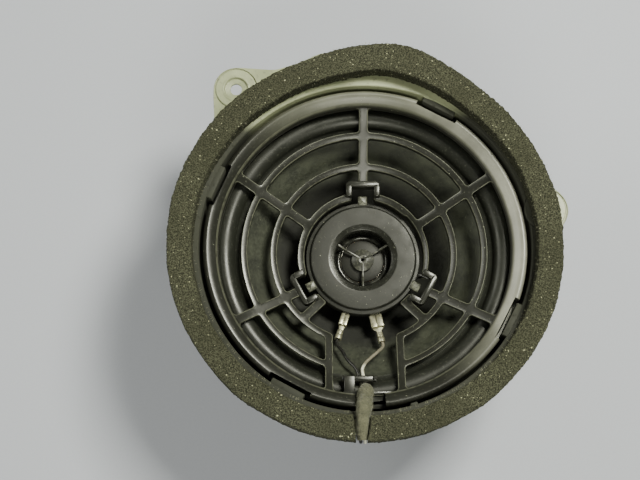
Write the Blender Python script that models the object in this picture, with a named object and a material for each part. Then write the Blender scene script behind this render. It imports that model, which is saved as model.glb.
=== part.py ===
"""Coaxial car door speaker: a woofer whose spoked carrier holds a tweeter on its axis.

Metres. The origin is the middle of the magnet's back face, +Z points out of the front
and +Y is up on the door. The cone group slides along Z, and so does the tweeter's dome.
"""

import math

import bmesh
import bpy
from mathutils import Matrix, Vector

# Motor, from the back face up
BACK_PLATE_THICKNESS = 0.0035
MAGNET_THICKNESS = 0.011
FRONT_PLATE_THICKNESS = 0.004
BACK_PLATE_RADIUS = 0.042
MAGNET_RADIUS = 0.045
MAGNET_BORE_RADIUS = 0.0225
FRONT_PLATE_RADIUS = 0.042
POLE_RADIUS = 0.0123
CLEARANCE = 0.0003  # between pieces that touch

# Voice coil
FORMER_WALL = 0.0003
FORMER_HEIGHT = 0.0175
WINDING_WALL = 0.0005
WINDING_HEIGHT = 0.010
COIL_GAP = 0.0004  # former to pole

# Chassis
FLANGE_FRONT_Z = 0.0805
FLANGE_THICKNESS = 0.0025
FLANGE_RADIUS = 0.090
RECESS_RADIUS = 0.0766  # inner wall of the flange, where the carrier drops in
WALL = 0.002
SURROUND_SEAT_DEPTH = 0.0198  # flange front to the surround's seat
SURROUND_SEAT_RADIUS = 0.0718
BASKET_FLOOR_RADIUS = 0.037
SPIDER_LEDGE_RADIUS = 0.0425
SPIDER_LEDGE_RISE = 0.0036  # basket floor's top to the spider's seat
BASKET_HOLE_RADIUS = 0.020
ARM_ANGLES = (30, 90, 150, 210, 270, 330)
ARM_HALF_WIDTH = 0.006
TERMINAL_ARM_HALF_WIDTH = 0.014
LUG_RADIUS = 0.0109
LUG_HOLE_RADIUS = 0.0027
LUG_DISH_RADIUS = 0.0056
LUG_DISH_DEPTH = 0.0008
LUG_CENTRES = ((-0.0606, 0.0753), (0.0835, 0.0162))
HIDDEN_HOLE = (0.0834, 250)  # third screw hole, radius and angle, under the foam
CREST_CENTRE = (0.006, 0.060)  # the flange's round crest at the top
CREST_RADIUS = 0.0355
HOOK_ANGLES = (62, 157, 242, 332)
HOOK_WIDTH = 0.0165
HOOK_REACH = 0.0026
PEG_ANGLE = -73.7
WIRE_NOTCH_HALF_WIDTH = 0.0045
WIRE_NOTCH_DEPTH = 0.003

# Foam gasket
FOAM_THICKNESS = 0.009
FOAM_OUTER_RADIUS = 0.0902
FOAM_INNER_RADIUS = 0.0779
FOAM_BULGE_ANGLE = 81
FOAM_BULGE_SPREAD = 14
FOAM_OUTER_BULGE = 0.0056
FOAM_INNER_BULGE = 0.0038
FOAM_SLIT_CENTRE = -0.0019

# Cone, surround, spider
CONE_RADIUS = 0.0612
CONE_WALL = 0.0006
CONE_FLARE = 1.4  # 1 is a straight cone
CONE_BENDS = 8
CONE_EDGE_DEPTH = 0.0195  # flange front to the cone's edge
SURROUND_WALL = 0.0004
SURROUND_LIP = 0.0022  # flat glued on the cone's edge
DUST_CAP_RADIUS = 0.0145
DUST_CAP_RISE = 0.0022
SPIDER_WAVES = 3
SPIDER_WAVE_HEIGHT = 0.0008

# Grille carrier
RIM_OUTER_RADIUS = 0.0751
RIM_INNER_RADIUS = 0.0685
RIM_SKIRT_WALL = 0.0019
RIM_EDGE_DEPTH = 0.0075  # flange front to the rim's inner edge
DISH_SLOPE = 0.5
DISH_THICKNESS = 0.0033
SPOKE_HALF_WIDTH = 0.00215
RING_1 = (0.0551, 0.0579)
RING_2 = (0.0414, 0.0443)
INNER_RING = (0.0284, 0.0315)
INNER_RING_SKIRT = 0.0072
STEP_WIDTH = 0.0008  # the inner ring's wider bore between two angles
STEP_ANGLES = (-26, 44)
SHORT_SPOKE_ANGLES = (227.5, 311.5)
WINDOW_HALF_WIDTH = 0.0148
WINDOW_BAR_WIDTH = 0.0036
WINDOW_END = 0.0669
WINDOW_NOTCH_END = 0.0684
WINDOW_FILLET = 0.0016
POCKET_ANGLES = (90, 209, 331)
POCKET_HALF_WIDTH = 0.0082
POCKET_OUTER_RADIUS = 0.0366
POCKET_WALL = 0.0029
POCKET_HEIGHT = 0.0062
SLOT_WIDTH = 0.0208
SLOT_INNER_RADIUS = 0.0720
SLOT_FLOOR_DEPTH = 0.0105
FINGER_BAR = (-0.0107, 0.0052, -0.0623, -0.0594)
FINGER_LEG = (-0.0098, -0.0048)
CHANNEL = (-0.0049, 0.0087)
CHANNEL_DEPTH = 0.0073

# Tweeter
TWEETER_RADIUS = 0.0276
TWEETER_FACE_DEPTH = 0.030
TWEETER_FACE_RADIUS = 0.0252
HORN_MOUTH_RADIUS = 0.0164
HORN_THROAT_RADIUS = 0.0137
HORN_CHAMFER_DEPTH = 0.002
PLUG_RADIUS = 0.0054
PLUG_TIP_RADIUS = 0.0024
PLUG_HOLE_RADIUS = 0.0008
PLUG_TIP_DEPTH = 0.0048
PLUG_HEIGHT = 0.0020
FIN_ANGLES = (30, 150, 270)
FIN_THICKNESS = 0.0011
DOME_RADIUS = 0.0103
DOME_RISE = 0.0012
DOME_WALL = 0.0002
DOME_DEPTH = 0.0091  # tweeter face to the dome's edge
DOME_LIP_RADIUS = 0.0155
DOME_ROLL_RADIUS = 0.0131
DOME_ROLL_RISE = 0.0009
TWEETER_COIL_WALL = 0.0003
TWEETER_COIL_HEIGHT = 0.0026
TWEETER_CUP_RADIUS = 0.0125
TWEETER_CUP_WALL = 0.0013
TWEETER_CUP_HEIGHT = 0.0054
TWEETER_MAGNET_RADIUS = 0.0090
TWEETER_MAGNET_THICKNESS = 0.0019
TWEETER_PLATE_THICKNESS = 0.0013
HOUSING_WALL = 0.0015
HOUSING_BACK_RADIUS = 0.0175
BARB_WIDTH = 0.0045
BARB_REACH = 0.0034
TAB_SLOPE_DEGREES = 22
TAB_THICKNESS = 0.0005

# Tab angle, tab width, receptacle width, receptacle length
NARROW_TERMINAL = (-107.2, 0.0028, 0.0041, 0.0152)
WIDE_TERMINAL = (-78.3, 0.0048, 0.0061, 0.0157)
RECEPTACLE_HEIGHT = 0.0021

# Leads
LEAD_RADIUS = 0.00075
LEAD_PITCH = 0.00195
SLEEVE_RADIUS = 0.0036
SLEEVE_BORE_RADIUS = 0.0022
TINSEL_RADIUS = 0.0006

# Terminals on the basket
BOARD_SIZE = (0.026, 0.012, 0.0016)
BOARD_SHARE = 0.486  # height of the board's top between the spider and the surround's seat
BOARD_OUTER_Y = -0.0775
CONNECTOR_SIZE = (0.020, 0.0068, 0.0115)
PIN_SIZE = (0.0011, 0.0011, 0.008)
RIVET_RADIUS = 0.0016
RIVET_OFFSET = BOARD_SIZE[0] / 2 - 0.0035
RIVET_Y = BOARD_OUTER_Y + 0.0085
CAPACITOR_RADIUS = 0.0055
CAPACITOR_LENGTH = 0.016

# Heights that follow from the values above
MAGNET_Z = BACK_PLATE_THICKNESS + CLEARANCE
FRONT_PLATE_Z = MAGNET_Z + MAGNET_THICKNESS + CLEARANCE
FRONT_PLATE_TOP = FRONT_PLATE_Z + FRONT_PLATE_THICKNESS
BASKET_Z = FRONT_PLATE_TOP + CLEARANCE
BASKET_FLOOR_TOP = BASKET_Z + WALL
SPIDER_Z = BASKET_FLOOR_TOP + SPIDER_LEDGE_RISE + CLEARANCE
FOAM_SLIT_HALF_WIDTH = SLEEVE_RADIUS + 0.0005
SURROUND_SEAT_Z = FLANGE_FRONT_Z - SURROUND_SEAT_DEPTH
BOARD_TOP_Z = SPIDER_Z + BOARD_SHARE * (SURROUND_SEAT_Z - SPIDER_Z)
CONE_EDGE_Z = FLANGE_FRONT_Z - CONE_EDGE_DEPTH
CONE_NECK_Z = SPIDER_Z + 0.0017
FORMER_INNER = POLE_RADIUS + COIL_GAP
FORMER_OUTER = FORMER_INNER + FORMER_WALL
WINDING_OUTER = FORMER_OUTER + CLEARANCE + WINDING_WALL
CONE_NECK_RADIUS = FORMER_OUTER + CLEARANCE
RIM_EDGE_Z = FLANGE_FRONT_Z - RIM_EDGE_DEPTH
FOAM_Z = FLANGE_FRONT_Z + CLEARANCE
TWEETER_FACE_Z = FLANGE_FRONT_Z - TWEETER_FACE_DEPTH
TIER_Z = TWEETER_FACE_Z - 0.0018
DOME_Z = TWEETER_FACE_Z - DOME_DEPTH
TAB_Z = TWEETER_FACE_Z - 0.0046

# Fineness of round pieces
LARGE_STEPS = 40
MEDIUM_STEPS = 24
SMALL_STEPS = 16

BLACK_PLASTIC = (0.016, 0.016, 0.014)
CHASSIS_GREY = (0.42, 0.43, 0.36)
FOAM_GREY = (0.10, 0.10, 0.075)
CONE_GREY = (0.050, 0.055, 0.042)
RUBBER_BLACK = (0.012, 0.012, 0.012)
TIN = (0.62, 0.60, 0.50)
ZINC = (0.55, 0.55, 0.52)
FERRITE = (0.035, 0.035, 0.038)
COPPER = (0.60, 0.26, 0.12)
AMBER = (0.36, 0.20, 0.06)
FLEECE = (0.16, 0.15, 0.105)
WHITE = (0.55, 0.55, 0.48)


def clear_scene():
    for obj in list(bpy.data.objects):
        bpy.data.objects.remove(obj, do_unlink=True)


def painted(name, colour, roughness=0.5, metallic=0.0):
    """A Principled material for one sub-part."""
    material = bpy.data.materials.new(name)
    material.use_nodes = True
    shader = material.node_tree.nodes["Principled BSDF"]
    shader.inputs["Base Color"].default_value = (*colour, 1.0)
    shader.inputs["Roughness"].default_value = roughness
    shader.inputs["Metallic"].default_value = metallic
    return material


def add_object(name, mesh_builder, material=None):
    """Object from a filled bmesh; with no material it is a hidden helper of a Boolean."""
    bmesh.ops.recalc_face_normals(mesh_builder, faces=mesh_builder.faces)
    mesh = bpy.data.meshes.new(name)
    mesh_builder.to_mesh(mesh)
    mesh_builder.free()
    mesh.shade_smooth()
    mesh.set_sharp_from_angle(angle=math.radians(35))
    obj = bpy.data.objects.new(name, mesh)
    bpy.context.scene.collection.objects.link(obj)
    if material:
        mesh.materials.append(material)
    else:
        obj.hide_render = True
        obj.display_type = "WIRE"
    return obj


def combine(obj, other, operation):
    """A Boolean modifier on obj with the hidden helper other."""
    modifier = obj.modifiers.new(other.name, "BOOLEAN")
    modifier.operation = operation
    modifier.solver = "EXACT"
    modifier.object = other
    return obj


def together(name, helpers):
    """One hidden helper made of several that don't touch, so that one Boolean takes them all."""
    builder = bmesh.new()
    for helper in helpers:
        builder.from_mesh(helper.data)
        bpy.data.objects.remove(helper, do_unlink=True)
    return add_object(name, builder)


def polar(radius, degrees):
    return Vector((radius * math.cos(math.radians(degrees)), radius * math.sin(math.radians(degrees))))


def arc(centre, radius, start, end, steps):
    """Points of an arc in a plane, from start to end degrees."""
    span = end - start
    return [Vector(centre) + polar(radius, start + span * i / steps) for i in range(steps + 1)]


def turned(name, profile, material=None, steps=LARGE_STEPS):
    """A closed profile of (radius, z) points, turned about the Z axis."""
    builder = bmesh.new()
    verts = [builder.verts.new((radius, 0, z)) for radius, z in profile]
    edges = [builder.edges.new((verts[i - 1], verts[i])) for i in range(len(verts))
             if profile[i - 1][0] > 0 or profile[i][0] > 0]
    bmesh.ops.spin(builder, geom=verts + edges, axis=(0, 0, 1), cent=(0, 0, 0),
                   angle=2 * math.pi, steps=steps, use_merge=True)
    bmesh.ops.remove_doubles(builder, verts=builder.verts, dist=1e-7)
    return add_object(name, builder, material)


def prism(name, outline, bottom, top, material=None, fillet=0.0, corner_degrees=40):
    """An outline of (x, y) points extruded from bottom to top, with its sharp upright edges rounded."""
    builder = bmesh.new()
    base = builder.faces.new([builder.verts.new((x, y, bottom)) for x, y in outline])
    extruded = bmesh.ops.extrude_face_region(builder, geom=[base])
    tops = [item for item in extruded["geom"] if isinstance(item, bmesh.types.BMVert)]
    bmesh.ops.translate(builder, verts=tops, vec=(0, 0, top - bottom))
    bmesh.ops.recalc_face_normals(builder, faces=builder.faces)
    if fillet:
        upright = [edge for edge in builder.edges
                   if abs(edge.verts[0].co.z - edge.verts[1].co.z) > (top - bottom) / 2
                   and edge.calc_face_angle(0) > math.radians(corner_degrees)]
        bmesh.ops.bevel(builder, geom=upright, offset=fillet, segments=3, profile=0.5, affect="EDGES")
    return add_object(name, builder, material)


def block(name, x_range, y_range, z_range, material=None, turn=0.0):
    """A box between the given ranges, turned about the Z axis by turn degrees."""
    (x0, x1), (y0, y1), (z0, z1) = x_range, y_range, z_range
    obj = prism(name, [(x0, y0), (x1, y0), (x1, y1), (x0, y1)], z0, z1, material)
    obj.data.transform(Matrix.Rotation(math.radians(turn), 4, "Z"))
    return obj


def cylinder(name, radius, start, end, material=None, steps=SMALL_STEPS):
    """A round bar between two points."""
    start, end = Vector(start), Vector(end)
    along = end - start
    builder = bmesh.new()
    bmesh.ops.create_cone(builder, cap_ends=True, segments=steps, radius1=radius,
                          radius2=radius, depth=along.length)
    turn = along.to_track_quat("Z", "Y").to_matrix().to_4x4()
    bmesh.ops.transform(builder, matrix=Matrix.Translation((start + end) / 2) @ turn,
                        verts=builder.verts)
    return add_object(name, builder, material)


def smooth_path(points, count):
    """Evenly counted points on a Catmull-Rom curve through the given ones."""
    points = [Vector(point) for point in points]
    ends = [2 * points[0] - points[1], *points, 2 * points[-1] - points[-2]]
    spans = len(points) - 1
    path = []
    for i in range(count + 1):
        place = min(i / count * spans, spans - 1e-9)
        k, t = int(place), place - int(place)
        a, b, c, d = ends[k:k + 4]
        path.append(0.5 * (2 * b + (c - a) * t + (2 * a - 5 * b + 4 * c - d) * t * t
                           + (3 * b - a - 3 * c + d) * t ** 3))
    return path


def tube(name, path, radius, material, resolution=2):
    """A round lead along a path, as a curve with a bevel and filled caps."""
    curve = bpy.data.curves.new(name, "CURVE")
    curve.dimensions = "3D"
    curve.bevel_depth = radius
    curve.bevel_resolution = resolution
    curve.use_fill_caps = True
    spline = curve.splines.new("POLY")
    spline.points.add(len(path) - 1)
    for point, place in zip(spline.points, path):
        point.co = (*place, 1.0)
    curve.materials.append(material)
    obj = bpy.data.objects.new(name, curve)
    bpy.context.scene.collection.objects.link(obj)
    return obj


def line_angle(radius, ray, half_width):
    """Angle at which a line, parallel to a ray and half_width beside it, meets a circle."""
    return ray + math.degrees(math.asin(half_width / radius))


def window_outline(inner, outer, start, end):
    """A grille window between two circles and two lines, each line (ray angle, half width)."""
    corners = [
        (inner, line_angle(inner, start[0], start[1]), line_angle(inner, end[0], -end[1])),
        (outer, line_angle(outer, start[0], start[1]), line_angle(outer, end[0], -end[1])),
    ]
    steps = max(2, round((corners[1][2] - corners[1][1]) / 360 * LARGE_STEPS))
    inside = arc((0, 0), inner, corners[0][2], corners[0][1], steps)
    outside = arc((0, 0), outer, corners[1][1], corners[1][2], steps)
    return inside + outside


# ---- Chassis ----

def basket_profile():
    """Section of the chassis, from the floor's hole round the outside and back."""
    back = FLANGE_FRONT_Z - FLANGE_THICKNESS
    outer_wall = RECESS_RADIUS + WALL
    seat_back = SURROUND_SEAT_Z - WALL
    return [
        (BASKET_HOLE_RADIUS, BASKET_Z),
        (BASKET_FLOOR_RADIUS + 0.0015, BASKET_Z),
        (SPIDER_LEDGE_RADIUS + 0.001, BASKET_Z + SPIDER_LEDGE_RISE + 0.0005),
        (SURROUND_SEAT_RADIUS + 0.0030, seat_back),
        (outer_wall, seat_back),
        (outer_wall, back),
        (FLANGE_RADIUS, back),
        (FLANGE_RADIUS, FLANGE_FRONT_Z),
        (RECESS_RADIUS, FLANGE_FRONT_Z),
        (RECESS_RADIUS, SURROUND_SEAT_Z),
        (SURROUND_SEAT_RADIUS, SURROUND_SEAT_Z),
        (SPIDER_LEDGE_RADIUS, SPIDER_Z - CLEARANCE),
        (BASKET_FLOOR_RADIUS, SPIDER_Z - CLEARANCE),
        (BASKET_FLOOR_RADIUS - 0.001, BASKET_FLOOR_TOP),
        (BASKET_HOLE_RADIUS, BASKET_FLOOR_TOP),
    ]


def lug_web(centre, towards):
    """Outline of the web that joins a lug to the flange: the tangents to the lug from two rim points."""
    centre = Vector(centre)
    outward = centre.normalized()
    side = Vector((-outward.y, outward.x)) * LUG_RADIUS
    first, second = (polar(FLANGE_RADIUS - 0.001, angle) for angle in towards)
    return [centre - side, centre + side, second, first]


def chassis():
    grey = painted("chassis", CHASSIS_GREY, 0.45, 0.2)
    body = turned("chassis", basket_profile(), grey)
    back = FLANGE_FRONT_Z - FLANGE_THICKNESS
    top = FLANGE_FRONT_Z - 0.0001
    low = back + 0.0001

    crest = prism("crest_blank", arc(CREST_CENTRE, CREST_RADIUS, 0, 355, SMALL_STEPS * 2), low, top)
    recess = cylinder("crest_recess", RECESS_RADIUS + 0.001, (0, 0, back - 0.001),
                      (0, 0, FLANGE_FRONT_Z + 0.001),
                      steps=LARGE_STEPS)
    combine(crest, recess, "DIFFERENCE")
    combine(body, crest, "UNION")

    webs = (lug_web(LUG_CENTRES[0], (118, 139)), lug_web(LUG_CENTRES[1], (1, 22)))
    for number, (centre, web) in enumerate(zip(LUG_CENTRES, webs), 1):
        x, y = centre
        helper = cylinder(f"lug_{number}_blank", LUG_RADIUS, (x, y, low - 0.0004), (x, y, top - 0.0002),
                          steps=MEDIUM_STEPS)
        combine(helper, recess, "DIFFERENCE")
        combine(body, helper, "UNION")
        web_helper = prism(f"lug_{number}_web", web, low + 0.0002, top - 0.0004)
        combine(web_helper, recess, "DIFFERENCE")
        combine(body, web_helper, "UNION")
        dish = cylinder(f"lug_{number}_dish", LUG_DISH_RADIUS, (x, y, top - 0.0002 - LUG_DISH_DEPTH),
                        (x, y, FLANGE_FRONT_Z + 0.001), steps=MEDIUM_STEPS)
        combine(body, dish, "DIFFERENCE")
        hole = cylinder(f"lug_{number}_hole", LUG_HOLE_RADIUS, (x, y, back - 0.002),
                        (x, y, FLANGE_FRONT_Z + 0.001))
        combine(body, hole, "DIFFERENCE")
    upper_web = prism("crest_web", [(-0.055, 0.0840), (-0.0422, 0.0848), (-0.0303, 0.0887),
                                    (-0.0208, 0.0923),
                                    (-0.0105, 0.0930), (-0.004, 0.0800), (-0.045, 0.0700)],
                      low + 0.0001, top - 0.0003)
    combine(upper_web, recess, "DIFFERENCE")
    combine(body, upper_web, "UNION")

    x, y = polar(*HIDDEN_HOLE)
    hidden = cylinder("third_hole", LUG_HOLE_RADIUS, (x, y, back - 0.001), (x, y, FLANGE_FRONT_Z + 0.001))
    combine(body, hidden, "DIFFERENCE")

    for angle in HOOK_ANGLES:
        hook = block(f"hook_{angle}_blank", (RECESS_RADIUS - HOOK_REACH, RECESS_RADIUS + 0.001),
                     (-HOOK_WIDTH / 2, HOOK_WIDTH / 2),
                     (FLANGE_FRONT_Z - SLOT_FLOOR_DEPTH + CLEARANCE, FLANGE_FRONT_Z - 0.0003), turn=angle)
        combine(body, hook, "UNION")
    peg = block("peg_blank", (RECESS_RADIUS - 0.001, RECESS_RADIUS + 0.001), (-0.0017, 0.0017),
                (FLANGE_FRONT_Z - 0.006, FLANGE_FRONT_Z - 0.0015), turn=PEG_ANGLE)
    combine(body, peg, "UNION")

    shelf_z = BOARD_TOP_Z + CLEARANCE
    shelf = block("terminal_shelf", (-BOARD_SIZE[0] / 2 + 0.001, BOARD_SIZE[0] / 2 - 0.001),
                  (BOARD_OUTER_Y + 0.0005, -0.0605), (shelf_z, shelf_z + WALL))
    for i, ray in enumerate(ARM_ANGLES):
        half = TERMINAL_ARM_HALF_WIDTH if ray == 270 else ARM_HALF_WIDTH
        following = ARM_ANGLES[(i + 1) % len(ARM_ANGLES)]
        next_half = TERMINAL_ARM_HALF_WIDTH if following == 270 else ARM_HALF_WIDTH
        end = following if following > ray else following + 360
        outline = window_outline(SPIDER_LEDGE_RADIUS + 0.0045, SURROUND_SEAT_RADIUS - 0.003,
                                 (ray, half), (end, next_half))
        opening = prism(f"basket_window_{ray}", outline, BASKET_Z, SURROUND_SEAT_Z - 0.0005, fillet=0.003)
        combine(body, opening, "DIFFERENCE")
    combine(body, shelf, "UNION")
    for side in (-1, 1):
        hole = cylinder(f"shelf_hole_{side + 1}", RIVET_RADIUS + CLEARANCE,
                        (side * RIVET_OFFSET, RIVET_Y, shelf_z - 0.001),
                        (side * RIVET_OFFSET, RIVET_Y, shelf_z + WALL + 0.001))
        combine(body, hole, "DIFFERENCE")
    notch = block("wire_notch",
                  (FOAM_SLIT_CENTRE - WIRE_NOTCH_HALF_WIDTH, FOAM_SLIT_CENTRE + WIRE_NOTCH_HALF_WIDTH),
                  (-FLANGE_RADIUS - 0.002, -FLANGE_RADIUS + WIRE_NOTCH_DEPTH),
                  (back - 0.001, FLANGE_FRONT_Z + 0.001))
    combine(body, notch, "DIFFERENCE")


# ---- Foam ----

def bulge(degrees):
    """Share of the gasket's outward bulge at an angle."""
    away = (degrees - FOAM_BULGE_ANGLE + 180) % 360 - 180
    return math.exp(-(away / FOAM_BULGE_SPREAD) ** 2 / 2)


def foam_gasket():
    grey = painted("foam_gasket", FOAM_GREY, 0.95)
    angles = [-90 + 360 * i / LARGE_STEPS for i in range(LARGE_STEPS)]
    outside = [polar(FOAM_OUTER_RADIUS + FOAM_OUTER_BULGE * bulge(a), a) for a in angles]
    inside = [polar(FOAM_INNER_RADIUS + FOAM_INNER_BULGE * bulge(a), a) for a in angles]
    top = FOAM_Z + FOAM_THICKNESS
    ring = prism("foam_gasket", outside, FOAM_Z, top, grey)
    bore = prism("foam_bore", inside, FOAM_Z - 0.001, top + 0.001)
    combine(ring, bore, "DIFFERENCE")
    slit = block("foam_slit",
                 (FOAM_SLIT_CENTRE - FOAM_SLIT_HALF_WIDTH, FOAM_SLIT_CENTRE + FOAM_SLIT_HALF_WIDTH),
                 (-0.1, -0.07), (FOAM_Z - 0.002, top + 0.002))
    combine(ring, slit, "DIFFERENCE")


# ---- Motor ----

def motor():
    steel = painted("back_plate", ZINC, 0.35, 0.9)
    turned("back_plate", [
        (0, 0), (BACK_PLATE_RADIUS - 0.0008, 0), (BACK_PLATE_RADIUS, 0.0008),
        (BACK_PLATE_RADIUS, BACK_PLATE_THICKNESS),
        (POLE_RADIUS, BACK_PLATE_THICKNESS), (POLE_RADIUS, FRONT_PLATE_TOP - 0.0006),
        (POLE_RADIUS - 0.0006, FRONT_PLATE_TOP), (0, FRONT_PLATE_TOP),
    ], steel)
    ferrite = painted("ferrite_magnet", FERRITE, 0.6)
    magnet_top = MAGNET_Z + MAGNET_THICKNESS
    turned("ferrite_magnet", [
        (MAGNET_BORE_RADIUS, MAGNET_Z), (MAGNET_RADIUS - 0.0008, MAGNET_Z),
        (MAGNET_RADIUS, MAGNET_Z + 0.0008),
        (MAGNET_RADIUS, magnet_top - 0.0008), (MAGNET_RADIUS - 0.0008, magnet_top),
        (MAGNET_BORE_RADIUS, magnet_top),
    ], ferrite)
    bore = WINDING_OUTER + CLEARANCE
    turned("front_plate", [
        (bore, FRONT_PLATE_Z), (FRONT_PLATE_RADIUS, FRONT_PLATE_Z), (FRONT_PLATE_RADIUS, FRONT_PLATE_TOP),
        (bore, FRONT_PLATE_TOP),
    ], painted("front_plate", ZINC, 0.35, 0.9))
    rivet_steel = painted("magnet_rivet", ZINC, 0.3, 0.9)
    for number, angle in enumerate((0, 120, 240), 1):
        x, y = polar((BASKET_HOLE_RADIUS + BASKET_FLOOR_RADIUS) / 2, angle)
        cylinder(f"magnet_rivet_{number}", 0.003, (x, y, BASKET_FLOOR_TOP + CLEARANCE),
                 (x, y, BASKET_FLOOR_TOP + CLEARANCE + 0.001), rivet_steel)


# ---- Moving group of the woofer ----

def cone_height(radius):
    """Height of the flared cone's front surface at a radius."""
    share = (radius - CONE_NECK_RADIUS) / (CONE_RADIUS - SURROUND_LIP - CONE_NECK_RADIUS)
    return CONE_NECK_Z + share ** CONE_FLARE * (CONE_EDGE_Z - CONE_NECK_Z)


def moving_group():
    span = CONE_RADIUS - SURROUND_LIP - CONE_NECK_RADIUS
    radii = [CONE_NECK_RADIUS + span * i / CONE_BENDS for i in range(CONE_BENDS + 1)]
    front = [(radius, cone_height(radius)) for radius in radii]
    turned("cone", [
        *front, (CONE_RADIUS, CONE_EDGE_Z), (CONE_RADIUS, CONE_EDGE_Z - CONE_WALL),
        *((radius, height - CONE_WALL * 1.2) for radius, height in reversed(front)),
    ], painted("cone", CONE_GREY, 0.6))

    lip = CONE_EDGE_Z + CLEARANCE
    middle = (CONE_RADIUS + SURROUND_SEAT_RADIUS) / 2
    roll = (SURROUND_SEAT_RADIUS - CONE_RADIUS) / 2
    seat = SURROUND_SEAT_Z + CLEARANCE
    upper = [(p.x, p.y) for p in arc((middle, lip), roll + SURROUND_WALL / 2, 165, 15, 8)]
    lower = [(p.x, p.y) for p in arc((middle, lip), roll - SURROUND_WALL / 2, 15, 165, 8)]
    outer = RECESS_RADIUS - CLEARANCE
    turned("surround", [
        (CONE_RADIUS - SURROUND_LIP + 0.0002, lip),
        (CONE_RADIUS - SURROUND_LIP + 0.0002, lip + SURROUND_WALL),
        *upper, (SURROUND_SEAT_RADIUS + 0.0006, seat + SURROUND_WALL), (outer, seat + SURROUND_WALL),
        (outer, seat),
        (SURROUND_SEAT_RADIUS + 0.0002, seat), *lower, (CONE_RADIUS + 0.0001, lip),
    ], painted("surround", RUBBER_BLACK, 0.35))

    base = cone_height(DUST_CAP_RADIUS + 0.002) + CLEARANCE
    rim = DUST_CAP_RADIUS
    dome = [(rim * (1 - i / 4), base + DUST_CAP_RISE * (1 - (1 - i / 4) ** 2)) for i in range(5)]
    under = [(r, z - 0.0005) for r, z in reversed(dome)]
    turned("dust_cap", [*dome, *under], painted("dust_cap", CONE_GREY, 0.5), MEDIUM_STEPS)

    former_top = CONE_NECK_Z + 0.0005
    turned("voice_coil_former", [
        (FORMER_INNER, former_top - FORMER_HEIGHT), (FORMER_OUTER, former_top - FORMER_HEIGHT),
        (FORMER_OUTER, former_top), (FORMER_INNER, former_top),
    ], painted("voice_coil_former", AMBER, 0.4), MEDIUM_STEPS)
    middle_z = (FRONT_PLATE_Z + FRONT_PLATE_TOP) / 2
    inner = FORMER_OUTER + CLEARANCE
    turned("voice_coil_winding", [
        (inner, middle_z - WINDING_HEIGHT / 2), (WINDING_OUTER, middle_z - WINDING_HEIGHT / 2),
        (WINDING_OUTER, middle_z + WINDING_HEIGHT / 2), (inner, middle_z + WINDING_HEIGHT / 2),
    ], painted("voice_coil_winding", COPPER, 0.35, 0.8), MEDIUM_STEPS)

    wave_start, wave_end = FORMER_OUTER + 0.0035, BASKET_FLOOR_RADIUS - 0.0005
    count = SPIDER_WAVES * 4
    waves = [(wave_start + (wave_end - wave_start) * i / count,
              SPIDER_Z + SPIDER_WAVE_HEIGHT * math.sin(i * math.pi / 2)) for i in range(count + 1)]
    flat = [(FORMER_OUTER + CLEARANCE, SPIDER_Z), *waves, (SPIDER_LEDGE_RADIUS - 0.0005, SPIDER_Z)]
    turned("spider", flat + [(r, z + 0.0004) for r, z in reversed(flat)], painted("spider", AMBER, 0.9),
           MEDIUM_STEPS)


# ---- Grille carrier ----

def dish_top(radius):
    """Height of the carrier's dished front at a radius."""
    return RIM_EDGE_Z - DISH_SLOPE * (RIM_INNER_RADIUS - radius)


def carrier_profile():
    """Section of the carrier: skirt, convex rim, dish and the inner ring's skirt."""
    inner, outer = INNER_RING
    skirt_bottom = SURROUND_SEAT_Z + 2 * CLEARANCE + SURROUND_WALL
    skirt_inner = RIM_OUTER_RADIUS - RIM_SKIRT_WALL
    front = FLANGE_FRONT_Z
    return [
        (RIM_OUTER_RADIUS, skirt_bottom), (RIM_OUTER_RADIUS, front - 0.0030),
        (RIM_OUTER_RADIUS - 0.0007, front - 0.0017),
        (RIM_OUTER_RADIUS - 0.0020, front - 0.0013), (RIM_OUTER_RADIUS - 0.0036, front - 0.0022),
        (RIM_OUTER_RADIUS - 0.0050, front - 0.0039), (RIM_INNER_RADIUS + 0.0006, front - 0.0060),
        (RIM_INNER_RADIUS, RIM_EDGE_Z), (inner, dish_top(inner)),
        (inner, dish_top(inner) - INNER_RING_SKIRT),
        (outer - 0.0007, dish_top(inner) - INNER_RING_SKIRT),
        (outer - 0.0003, dish_top(outer) - DISH_THICKNESS),
        (RIM_INNER_RADIUS + 0.0014, dish_top(RIM_INNER_RADIUS) - DISH_THICKNESS + 0.0007),
        (skirt_inner - 0.0014, front - 0.0072), (skirt_inner, front - 0.0060), (skirt_inner, skirt_bottom),
    ]


def grille_windows():
    """Outlines of the windows between the rings, the spokes and the bars of the wire window."""
    bar = WINDOW_HALF_WIDTH + WINDOW_BAR_WIDTH
    spoke = SPOKE_HALF_WIDTH
    outlines = []
    for inner, outer in ((RING_1[1], RIM_INNER_RADIUS - 0.0003), (RING_2[1], RING_1[0])):
        for start, end in ((30, 90), (90, 150), (150, 210), (330, 390)):
            outlines.append(window_outline(inner, outer, (start, spoke), (end, spoke)))
        outlines.append(window_outline(inner, outer, (210, spoke), (270, bar)))
        outlines.append(window_outline(inner, outer, (270, bar), (330, spoke)))
    for start, end in ((30, 90), (90, 150), (150, 210), (210, SHORT_SPOKE_ANGLES[0]),
                       (SHORT_SPOKE_ANGLES[1], 330), (330, 390)):
        outlines.append(window_outline(INNER_RING[1], RING_2[0], (start, spoke), (end, spoke)))
    return outlines


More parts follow.
